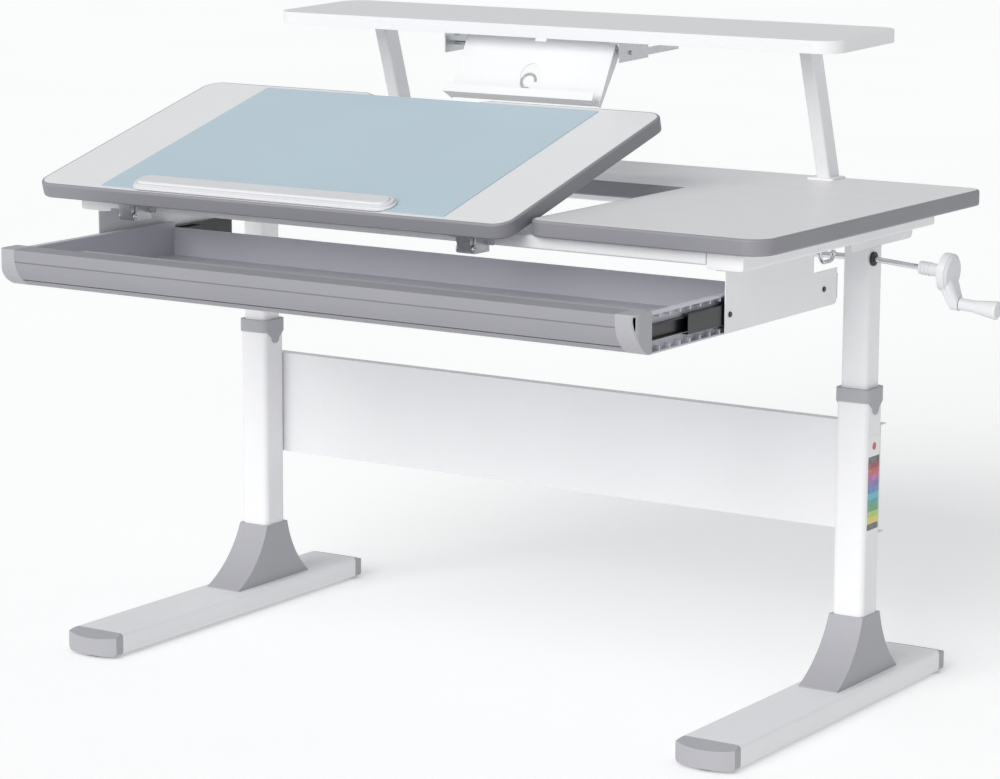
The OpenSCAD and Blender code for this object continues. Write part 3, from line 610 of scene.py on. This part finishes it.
def stands_for(made: bpy.types.Object, *nodes: str) -> bpy.types.Object:
    """Lets a piece ride on its nodes' body and take their place."""
    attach(made, BODY_OF[nodes[0]])
    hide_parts(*nodes)
    LOG.info("%s stands for %s", made.name, ", ".join(nodes))
    return made


def rides_with(made: bpy.types.Object, node: str) -> bpy.types.Object:
    """Lets an added detail ride on the body of a node."""
    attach(made, BODY_OF[node])
    LOG.info("%s added to %s", made.name, node)
    return made


def islands(shape: bmesh.types.BMesh) -> list[tuple[Vector, Vector]]:
    """Boxes of the separate solids in a mesh.

    Args:
        shape: a mesh with shared vertices.

    Returns:
        Lowest and highest corner of each solid.
    """
    found: list[tuple[Vector, Vector]] = []
    seen: set[int] = set()
    shape.verts.ensure_lookup_table()
    for start in shape.verts:
        if start.index in seen:
            continue
        seen.add(start.index)
        waiting = [start]
        low = start.co.copy()
        high = start.co.copy()
        while waiting:
            vert = waiting.pop()
            for axis in range(3):
                low[axis] = min(low[axis], vert.co[axis])
                high[axis] = max(high[axis], vert.co[axis])
            for edge in vert.link_edges:
                other = edge.other_vert(vert)
                if other.index not in seen:
                    seen.add(other.index)
                    waiting.append(other)
        found.append((low, high))
    return found


def spun(
    profile: list[tuple[float, float]], place: Matrix, turns: int = 48
) -> bmesh.types.BMesh:
    """Turns a profile about the local Z axis into a closed solid.

    Args:
        profile: radius and height of each ring, the first and last on the axis.
        place: where the solid stands.
        turns: number of facets round the axis.

    Returns:
        The solid.
    """
    shape = bmesh.new()
    rings: list[list[bmesh.types.BMVert]] = []
    for radius, height in profile:
        if radius < 1e-7:
            rings.append([shape.verts.new((0.0, 0.0, height))])
            continue
        rings.append([
            shape.verts.new((
                radius * math.cos(math.tau * step / turns),
                radius * math.sin(math.tau * step / turns),
                height,
            ))
            for step in range(turns)
        ])
    for below, above in zip(rings, rings[1:]):
        for step in range(turns):
            after = (step + 1) % turns
            if len(below) == 1:
                shape.faces.new((below[0], above[after], above[step]))
            elif len(above) == 1:
                shape.faces.new((below[step], below[after], above[0]))
            else:
                shape.faces.new((below[step], below[after], above[after], above[step]))
    bmesh.ops.recalc_face_normals(shape, faces=shape.faces)
    shape.transform(place)
    return shape


# ---------------------------------------------------------------- geometry nodes


class Recipe:
    """A Geometry Nodes tree with named inputs, grown over a seed mesh."""

    def __init__(self, name: str, inputs: list[tuple[str, str, float | int]]) -> None:
        """Opens the tree.

        Args:
            name: name of the tree.
            inputs: label, socket kind and first value of each size.
        """
        self.group = bpy.data.node_groups.new(name, "GeometryNodeTree")
        face = self.group.interface
        face.new_socket("Geometry", in_out="OUTPUT", socket_type="NodeSocketGeometry")
        face.new_socket("Geometry", in_out="INPUT", socket_type="NodeSocketGeometry")
        for label, kind, value in inputs:
            socket = face.new_socket(label, in_out="INPUT", socket_type=kind)
            socket.default_value = value
        face.new_socket("Finish", in_out="INPUT", socket_type="NodeSocketMaterial")
        self.start = self.node("NodeGroupInput")
        self.end = self.node("NodeGroupOutput")

    def node(self, kind: str, **settings: object) -> bpy.types.Node:
        """Adds a node and sets its properties."""
        made = self.group.nodes.new(kind)
        for key, value in settings.items():
            setattr(made, key, value)
        return made

    def link(self, source: bpy.types.NodeSocket, target: bpy.types.NodeSocket) -> None:
        """Links two sockets."""
        self.group.links.new(source, target)

    def size(self, label: str) -> bpy.types.NodeSocket:
        """One of the tree's named inputs."""
        return self.start.outputs[label]

    def maths(
        self, operation: str, first: bpy.types.NodeSocket, second: bpy.types.NodeSocket | float
    ) -> bpy.types.NodeSocket:
        """Combines two numbers.

        Args:
            operation: name of the Math node's operation.
            first: the first value.
            second: the second value or a plain number.

        Returns:
            The result.
        """
        made = self.node("ShaderNodeMath", operation=operation)
        self.link(first, made.inputs[0])
        if isinstance(second, (int, float)):
            made.inputs[1].default_value = second
        else:
            self.link(second, made.inputs[1])
        return made.outputs[0]

    def lifted(
        self, shape: bpy.types.NodeSocket, height: bpy.types.NodeSocket
    ) -> bpy.types.NodeSocket:
        """Moves a shape up its own axis."""
        where = self.node("ShaderNodeCombineXYZ")
        self.link(height, where.inputs["Z"])
        made = self.node("GeometryNodeTransform")
        self.link(shape, made.inputs["Geometry"])
        self.link(where.outputs[0], made.inputs["Translation"])
        return made.outputs[0]

    def close(self, shape: bpy.types.NodeSocket) -> None:
        """Ends the tree in plain geometry with its finish."""
        real = self.node("GeometryNodeRealizeInstances")
        paint = self.node("GeometryNodeSetMaterial")
        self.link(shape, real.inputs[0])
        self.link(real.outputs[0], paint.inputs["Geometry"])
        self.link(self.size("Finish"), paint.inputs["Material"])
        self.link(paint.outputs[0], self.end.inputs[0])

    def grow(
        self,
        name: str,
        seed: bpy.types.Mesh,
        material: bpy.types.Material,
        sizes: dict[str, float | int],
    ) -> bpy.types.Object:
        """Runs the tree and keeps its result as a plain mesh.

        Args:
            name: name of the finished object.
            seed: the mesh that the tree starts from.
            material: the finish.
            sizes: values for the named inputs.

        Returns:
            The finished object.
        """
        carrier = bpy.data.objects.new(name + "_seed", seed)
        bpy.context.scene.collection.objects.link(carrier)
        growing = carrier.modifiers.new("grow", "NODES")
        growing.node_group = self.group
        for item in self.group.interface.items_tree:
            if item.in_out == "INPUT" and item.name in sizes:
                growing[item.identifier] = sizes[item.name]
            if item.in_out == "INPUT" and item.name == "Finish":
                growing[item.identifier] = material
        graph = bpy.context.evaluated_depsgraph_get()
        mesh = bpy.data.meshes.new_from_object(carrier.evaluated_get(graph))
        carrier.modifiers.remove(growing)
        bpy.data.objects.remove(carrier)
        mesh.name = name
        return dressed(name, mesh, material)


def seed_points(places: list[tuple[Vector, Vector]]) -> bpy.types.Mesh:
    """Loose points that carry the direction of what will stand on them.

    Args:
        places: position and direction of each point.

    Returns:
        A mesh with an "axis" attribute on its points.
    """
    mesh = bpy.data.meshes.new("places")
    mesh.from_pydata([tuple(place) for place, _ in places], [], [])
    axis = mesh.attributes.new("axis", "FLOAT_VECTOR", "POINT")
    for index, (_, direction) in enumerate(places):
        axis.data[index].vector = direction
    return mesh


class FastenerRecipe(Recipe):
    """Screw with a chamfered head, a washer and its shank, set on every point."""

    def __init__(self) -> None:
        """Draws the tree."""
        super().__init__("fasteners", [
            ("Head Radius", "NodeSocketFloat", 0.006),
            ("Head Height", "NodeSocketFloat", 0.004),
            ("Head Sides", "NodeSocketInt", 6),
            ("Washer Height", "NodeSocketFloat", 0.001),
            ("Shank Radius", "NodeSocketFloat", 0.003),
            ("Shank Length", "NodeSocketFloat", 0.01),
        ])
        radius = self.size("Head Radius")
        height = self.size("Head Height")
        washer_h = self.size("Washer Height")
        body_h = self.maths("MULTIPLY", self.maths("SUBTRACT", height, washer_h), 0.7)
        cap_h = self.maths("MULTIPLY", body_h, 0.42)
        head = self.node("GeometryNodeMeshCylinder")
        self.link(self.size("Head Sides"), head.inputs["Vertices"])
        self.link(self.maths("MULTIPLY", radius, 0.93), head.inputs["Radius"])
        self.link(body_h, head.inputs["Depth"])
        cap = self.node("GeometryNodeMeshCone")
        self.link(self.size("Head Sides"), cap.inputs["Vertices"])
        self.link(self.maths("MULTIPLY", radius, 0.93), cap.inputs["Radius Bottom"])
        self.link(self.maths("MULTIPLY", radius, 0.78), cap.inputs["Radius Top"])
        self.link(cap_h, cap.inputs["Depth"])
        washer = self.node("GeometryNodeMeshCylinder")
        washer.inputs["Vertices"].default_value = 28
        self.link(radius, washer.inputs["Radius"])
        self.link(washer_h, washer.inputs["Depth"])
        shank = self.node("GeometryNodeMeshCylinder")
        shank.inputs["Vertices"].default_value = 20
        self.link(self.size("Shank Radius"), shank.inputs["Radius"])
        self.link(self.size("Shank Length"), shank.inputs["Depth"])
        half = self.maths("MULTIPLY", body_h, 0.5)
        whole = self.node("GeometryNodeJoinGeometry")
        for shape in (
            self.lifted(head.outputs["Mesh"], self.maths("ADD", half, washer_h)),
            self.lifted(cap.outputs["Mesh"], self.maths("ADD", body_h, washer_h)),
            self.lifted(washer.outputs["Mesh"], self.maths("MULTIPLY", washer_h, 0.5)),
            self.lifted(
                shank.outputs["Mesh"],
                self.maths("MULTIPLY", self.size("Shank Length"), -0.5),
            ),
        ):
            self.link(shape, whole.inputs[0])
        axis = self.node("GeometryNodeInputNamedAttribute", data_type="FLOAT_VECTOR")
        axis.inputs["Name"].default_value = "axis"
        turn = self.node("FunctionNodeAlignRotationToVector", axis="Z")
        self.link(axis.outputs["Attribute"], turn.inputs["Vector"])
        spread = self.node("GeometryNodeInstanceOnPoints")
        self.link(self.start.outputs["Geometry"], spread.inputs["Points"])
        self.link(whole.outputs[0], spread.inputs["Instance"])
        self.link(turn.outputs[0], spread.inputs["Rotation"])
        self.close(spread.outputs[0])


class RibRecipe(Recipe):
    """Rounded bars or balls repeated on every point, along each point's axis."""

    def __init__(self, balls: bool) -> None:
        """Draws the tree.

        Args:
            balls: True for balls, False for bars.
        """
        super().__init__("ball_row" if balls else "rib_row", [
            ("Width", "NodeSocketFloat", 0.002),
            ("Length", "NodeSocketFloat", 0.02),
            ("Height", "NodeSocketFloat", 0.001),
        ])
        if balls:
            shape = self.node("GeometryNodeMeshUVSphere")
            shape.inputs["Segments"].default_value = 12
            shape.inputs["Rings"].default_value = 8
            self.link(self.maths("MULTIPLY", self.size("Width"), 0.5), shape.inputs["Radius"])
        else:
            shape = self.node("GeometryNodeMeshCylinder")
            shape.inputs["Vertices"].default_value = 14
            shape.inputs["Radius"].default_value = 0.5
            shape.inputs["Depth"].default_value = 1.0
        spread = self.node("GeometryNodeInstanceOnPoints")
        self.link(self.start.outputs["Geometry"], spread.inputs["Points"])
        self.link(shape.outputs["Mesh"], spread.inputs["Instance"])
        if not balls:
            axis = self.node("GeometryNodeInputNamedAttribute", data_type="FLOAT_VECTOR")
            axis.inputs["Name"].default_value = "axis"
            turn = self.node("FunctionNodeAlignRotationToVector", axis="Z")
            self.link(axis.outputs["Attribute"], turn.inputs["Vector"])
            self.link(turn.outputs[0], spread.inputs["Rotation"])
            girth = self.node("ShaderNodeCombineXYZ")
            self.link(self.size("Width"), girth.inputs["X"])
            self.link(self.size("Height"), girth.inputs["Y"])
            self.link(self.size("Length"), girth.inputs["Z"])
            self.link(girth.outputs[0], spread.inputs["Scale"])
        self.close(spread.outputs[0])


# ---------------------------------------------------------------- sub-assemblies


@dataclass
class Softened:
    """A group of CAD nodes that keep their shape and get rounded edges."""

    palette: Palette
    widths: dict[str, tuple[float, int]]

    def build(self) -> None:
        """Makes one finely shaped piece for each node."""
        for node, (width, segments) in self.widths.items():
            shape = copied(node)
            soften(shape, width, segments)
            stands_for(piece("fine_" + node, shape, self.palette.of(node)), node)


@dataclass
class ColumnCovers:
    """Flared covers over the column feet; short facets limit the rounding up their flanks."""

    palette: Palette
    flank: float = 0.008
    rim: float = 0.001

    def build(self) -> None:
        """Rounds the flanks as far as their facets allow, and every other edge finely."""
        for node in ("column_cover_left", "column_cover_right"):
            low, high = corners(node)
            middle = (low.x + high.x) / 2
            shape = copied(node)

            def flank(edge: bmesh.types.BMEdge) -> bool:
                """True for an outside edge between a flank and a side."""
                place = (edge.verts[0].co + edge.verts[1].co) / 2
                turned = sorted(abs(face.normal.x) for face in edge.link_faces)
                rises = abs(edge.verts[0].co.z - edge.verts[1].co.z) > 0.0004
                outside = abs(place.x - middle) > 0.0262
                return outside and rises and turned[0] < 0.5 and turned[1] > 0.8

            soften(shape, self.flank, 6, flank)
            soften(shape, self.rim, 2, sharper=40.0)
            stands_for(piece("fine_" + node, shape, self.palette.of(node), 50.0), node)


@dataclass
class BandedPanel:
    """A laminated board with a soft band pressed round its edge."""

    palette: Palette
    core: str
    band: str
    seam: float = 0.00025
    rim: float = 0.0032

    def build(self) -> None:
        """Shapes the laminate and its band with a fine seam between them."""
        core = copied(self.core)
        walls = BVHTree.FromBMesh(core)
        soften(core, self.seam, 1)
        stands_for(piece("fine_" + self.core, core, self.palette.of(self.core)), self.core)
        band = copied(self.band)

        def outer(edge: bmesh.types.BMEdge) -> bool:
            """True for an edge away from the laminate."""
            middle = (edge.verts[0].co + edge.verts[1].co) / 2
            _, _, _, gap = walls.find_nearest(middle)
            return gap is not None and gap > 0.002

        soften(band, self.rim, 4, outer, 50.0)
        soften(band, self.seam, 1, lambda edge: not outer(edge), 50.0)
        made = piece("fine_" + self.band, band, self.palette.of(self.band), 50.0)
        stands_for(made, self.band)


@dataclass
class Fasteners:
    """Every screw and bolt that shows, grown on the places of the CAD ones."""

    palette: Palette
    foot_level: float = 0.1
    shelf_level: float = 0.8
    shelf_tilt: float = 1.7
    bolt_head: float = 0.005
    shelf_head: float = 0.00265
    panel_head: float = 0.002

    def frame_bolts(self, recipe: FastenerRecipe) -> None:
        """Hexagon bolts on the foot plates and the crossbar."""
        shape = copied("frame_bolts")
        places: list[tuple[Vector, Vector]] = []
        for low, high in islands(shape):
            middle = (low + high) / 2
            if middle.z > self.foot_level:
                seat = Vector((middle.x, high.y - self.bolt_head, middle.z))
                places.append((seat, Vector((0, 1, 0))))
            else:
                seat = Vector((middle.x, middle.y, high.z - self.bolt_head))
                places.append((seat, Vector((0, 0, 1))))
        shape.free()
        made = recipe.grow("hex_bolts", seed_points(places), self.palette.of("frame_bolts"), {
            "Head Radius": 0.007, "Head Height": self.bolt_head, "Head Sides": 6,
            "Washer Height": 0.0008, "Shank Radius": 0.004, "Shank Length": 0.0032,
        })
        stands_for(made, "frame_bolts")

    def frame_screws(self, recipe: FastenerRecipe) -> None:
        """Pan head screws under the shelf and on the drawer's side panels."""
        shape = copied("frame_screws")
        centre = (corners("crossbar")[0].x + corners("crossbar")[1].x) / 2
        tilt = math.radians(self.shelf_tilt)
        down = Vector((0.0, math.sin(tilt), -math.cos(tilt)))
        under_shelf: list[tuple[Vector, Vector]] = []
        on_panels: list[tuple[Vector, Vector]] = []
        for low, high in islands(shape):
            middle = (low + high) / 2
            if middle.z > self.shelf_level:
                drop = (high.z - low.z) / 2 - self.shelf_head
                under_shelf.append((middle + down * drop, down))
            else:
                way = 1.0 if middle.x > centre else -1.0
                face = high.x if way > 0 else low.x
                seat = Vector((face - way * self.panel_head, middle.y, middle.z))
                on_panels.append((seat, Vector((way, 0, 0))))
        shape.free()
        made = recipe.grow("shelf_screws", seed_points(under_shelf),
                           self.palette.of("frame_screws"), {
            "Head Radius": 0.005, "Head Height": 0.0025, "Head Sides": 24,
            "Washer Height": 0.0005, "Shank Radius": 0.003, "Shank Length": 0.013,
        })
        stands_for(made, "frame_screws")
        made = recipe.grow("panel_screws", seed_points(on_panels),
                           self.palette.by_slot["black_steel"], {
            "Head Radius": 0.004, "Head Height": self.panel_head, "Head Sides": 24,
            "Washer Height": 0.0004, "Shank Radius": 0.002, "Shank Length": 0.003,
        })
        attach(made, BODY_OF["frame_screws"])
        LOG.info("panel_screws added")

    def build(self) -> None:
        """Grows both groups."""
        recipe = FastenerRecipe()
        self.frame_bolts(recipe)
        self.frame_screws(recipe)


@dataclass
class PaperStop:
    """Pale moulded ledge at the mat's front edge, with fine ribs across it."""

    palette: Palette
    tilt: float = 15.3
    pitch: float = 0.0044
    height: float = 0.0085
    rib: float = 0.0018
    rib_l: float = 0.024
    end: float = 0.022

    def build(self) -> None:
        """Shapes the ledge and grows its ribs."""
        shape = copied("paper_stop")
        soften(shape, 0.0012, 2)
        stands_for(piece("fine_paper_stop", shape, self.palette.of("paper_stop")), "paper_stop")
        low, high = corners("paper_stop")
        slope = math.radians(self.tilt)
        across = Vector((0.0, math.cos(slope), math.sin(slope)))
        up = Vector((0.0, -math.sin(slope), math.cos(slope)))
        middle = (low + high) / 2 + up * (self.height / 2 - self.rib / 4)
        count = int((high.x - low.x - 2 * self.end) / self.pitch)
        start = middle.x - (count - 1) * self.pitch / 2
        places = [
            (Vector((start + index * self.pitch, middle.y, middle.z)), across)
            for index in range(count)
        ]
        made = RibRecipe(False).grow(
            "paper_stop_ribs", seed_points(places), self.palette.of("paper_stop"),
            {"Width": self.rib, "Length": self.rib_l, "Height": self.rib},
        )
        rides_with(made, "paper_stop")


@dataclass
class DrawerSlides:
    """Steel balls that run between the slide members."""

    palette: Palette
    pitch: float = 0.012
    end: float = 0.01
    web: float = 0.003
    lip: float = 0.0034
    ball: float = 0.0036

    def build(self) -> None:
        """Grows the two ball rows of each slide."""
        low, high = corners("slide_middle_members")
        places: list[tuple[Vector, Vector]] = []
        count = int((high.y - low.y - 2 * self.end) / self.pitch)
        for x in (low.x + self.web, high.x - self.web):
            for z in (low.z + self.lip, high.z - self.lip):
                for index in range(count):
                    y = low.y + self.end + index * self.pitch
                    places.append((Vector((x, y, z)), Vector((0, 1, 0))))
        made = RibRecipe(True).grow(
            "slide_balls", seed_points(places), self.palette.by_slot["chrome_rod"],
            {"Width": self.ball},
        )
        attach(made, BODY_OF["slide_middle_members"])
        LOG.info("slide_balls added")


@dataclass
class Crank:
    """Details of the hand crank: the domed face of its disc and the rings on its hub."""

    palette: Palette
    droop: float = 4.5
    disc_radius: float = 0.0225
    reach: float = 0.1255
    bush_in: float = 0.002
    ring_radius: float = 0.0099
    ring_thick: float = 0.0016
    ring_at: tuple[float, ...] = (0.078, 0.0835, 0.089)

    def build(self) -> None:
        """Adds the disc's domed face and the hub's rings."""
        rod_low, rod_high = corners("crank_rod")
        tilt = Matrix.Rotation(math.radians(90.0 + self.droop), 4, "Y")
        bush_low, bush_high = corners("crank_bush")
        start = Vector((
            bush_low.x + self.bush_in, (rod_low.y + rod_high.y) / 2,
            (bush_low.z + bush_high.z) / 2,
        ))
        place = Matrix.Translation(start) @ tilt
        reach = self.reach
        dome = [
            (0.0, reach - 0.002), (self.disc_radius, reach - 0.002),
            (self.disc_radius, reach + 0.0004), (self.disc_radius - 0.0012, reach + 0.0009),
            (self.disc_radius - 0.002, reach + 0.0005), (self.disc_radius - 0.004, reach + 0.0009),
            (self.disc_radius * 0.5, reach + 0.0019), (0.0, reach + 0.0023),
        ]
        made = piece("crank_disc_face", spun(dome, place), self.palette.of("crank_arm"))
        rides_with(made, "crank_arm")
        for index, height in enumerate(self.ring_at):
            ring = [
                (0.0, height), (self.ring_radius - 0.0003, height),
                (self.ring_radius, height + self.ring_thick / 2),
                (self.ring_radius - 0.0003, height + self.ring_thick),
                (0.0, height + self.ring_thick),
            ]
            name = "crank_hub_ring_" + str(index)
            made = piece(name, spun(ring, place), self.palette.of("crank_arm"))
            rides_with(made, "crank_arm")


@dataclass(frozen=True)
class Studio:
    """Pale floor, soft light and the camera; angles are in degrees."""

    floor_half: float = 40.0
    surround: float = 0.56
    key_power: float = 2.1
    key_spread: float = 40.0
    key_travel: tuple[float, float, float] = (0.02, 0.87, -0.44)
    eye: tuple[float, float, float] = (2.65200, -4.12543, 1.34062)
    pitch: float = 10.473
    roll: float = -0.264
    heading: float = 33.081
    focal: float = 124.02

    def floor(self) -> None:
        """Wide matt floor with a faint grain."""
        shape = bmesh.new()
        bmesh.ops.create_grid(shape, x_segments=8, y_segments=8, size=self.floor_half)
        graph = Graph("studio_floor")
        tone = graph.ramp(
            graph.noise(0.8, 3.0), [(0.3, linear("F4F4F4")), (0.7, linear("F6F6F6"))]
        )
        graph.feed(tone, "Base Color")
        graph.feed(graph.span(graph.noise(30.0), (0.3, 0.7), (0.8, 0.9)), "Roughness")
        graph.fixed(Specular_IOR_Level=0.1, Emission_Strength=0.2)
        graph.shader.inputs["Emission Color"].default_value = (1.0, 1.0, 1.0, 1.0)
        made = piece("floor", shape, graph.material)
        made.modifiers.clear()

    def light(self) -> None:
        """Even surround with one broad, low key from the front."""
        world = bpy.data.worlds.new("studio")
        bpy.context.scene.world = world
        world.use_nodes = True
        around = world.node_tree.nodes["Background"]
        around.inputs["Color"].default_value = (0.97, 0.985, 1.0, 1.0)
        around.inputs["Strength"].default_value = self.surround
        key = bpy.data.lights.new("key", "SUN")
        key.energy = self.key_power
        key.angle = math.radians(self.key_spread)
        key.color = (1.0, 0.995, 0.98)
        lamp = bpy.data.objects.new("key", key)
        lamp.rotation_euler = Vector(self.key_travel).to_track_quat("-Z", "Y").to_euler()
        bpy.context.scene.collection.objects.link(lamp)

    def camera(self) -> None:
        """Long lens from the front right, a little above the worktop."""
        lens = bpy.data.cameras.new("camera")
        lens.lens = self.focal
        lens.sensor_width = 36.0
        lens.clip_end = 200.0
        made = bpy.data.objects.new("camera", lens)
        made.location = self.eye
        made.rotation_euler = (
            math.radians(90.0 - self.pitch), math.radians(self.roll), math.radians(self.heading),
        )
        bpy.context.scene.collection.objects.link(made)
        bpy.context.scene.camera = made

    def build(self) -> None:
        """Sets the whole studio."""
        bpy.context.scene.view_settings.view_transform = "Standard"
        bpy.context.scene.view_settings.look = "None"
        self.floor()
        self.light()
        self.camera()


@dataclass
class PlainNodes:
    """CAD nodes whose shape is final: they only get their finish."""

    palette: Palette

    def build(self) -> None:
        """Dresses every CAD node, replaced or not, in its slot's finish."""
        for node, made in frame["nodes"].items():
            material = self.palette.of(node)
            if node.startswith("lead_screw"):
                material = self.palette.drawn_z
            if not made.data.materials:
                made.data.materials.append(material)
            for index in range(len(made.data.materials)):
                made.data.materials[index] = material


def main() -> None:
    """Builds the desk in order and reports each piece."""
    logging.basicConfig(level=logging.INFO, format="%(name)s: %(message)s")
    palette = Palette()
    Studio().build()
    PlainNodes(palette).build()
    lower = {
        "foot_left": (0.0006, 2), "foot_right": (0.0006, 2), "foot_end_caps": (0.002, 3),
        "foot_pads": (0.0012, 2), "outer_tube_left": (0.0005, 2),
        "outer_tube_right": (0.0005, 2), "collar_left": (0.0009, 2), "collar_right": (0.0009, 2),
        "crossbar": (0.0006, 2),
    }
    upper = {
        "inner_tube_left": (0.0005, 2), "inner_tube_right": (0.0005, 2),
        "head_beam_left": (0.0008, 2), "head_beam_right": (0.0008, 2),
        "side_rail_left": (0.0006, 2), "side_rail_right": (0.0006, 2),
        "front_rail": (0.0006, 2), "rear_rail": (0.0006, 2), "strut_rail": (0.0006, 2),
        "drawer_panel_left": (0.0004, 1), "drawer_panel_right": (0.0004, 1),
        "crank_bush": (0.0006, 2), "shelf_board": (0.0032, 4),
        "shelf_leg_left": (0.0008, 2), "shelf_leg_right": (0.0008, 2),
        "holder_brackets": (0.0004, 1), "bag_hook": (0.0003, 1),
        "hinge_brackets": (0.0004, 1),
    }
    moving = {
        "board_knuckles": (0.0006, 2), "tilt_strut": (0.0008, 2), "strut_rollers": (0.0008, 2),
        "drawing_mat": (0.0004, 2), "drawer_tray": (0.0008, 2), "pen_strip": (0.0006, 2),
        "drawer_front": (0.0008, 2), "drawer_end_caps": (0.0030, 4),
        "slide_inner_members": (0.0003, 1), "slide_middle_members": (0.0003, 1),
        "slide_outer_members": (0.0003, 1), "crank_arm": (0.0024, 4), "crank_grip": (0.001, 3),
        "crank_rod": (0.0005, 2), "holder_plate": (0.0004, 1), "page_clip": (0.0004, 2),
    }
    for group in (lower, upper, moving):
        Softened(palette, group).build()
    ColumnCovers(palette).build()
    BandedPanel(palette, "worktop_core", "worktop_band").build()
    BandedPanel(palette, "board_core", "board_band").build()
    Fasteners(palette).build()
    PaperStop(palette).build()
    DrawerSlides(palette).build()
    Crank(palette).build()


if __name__ == "__main__":
    main()
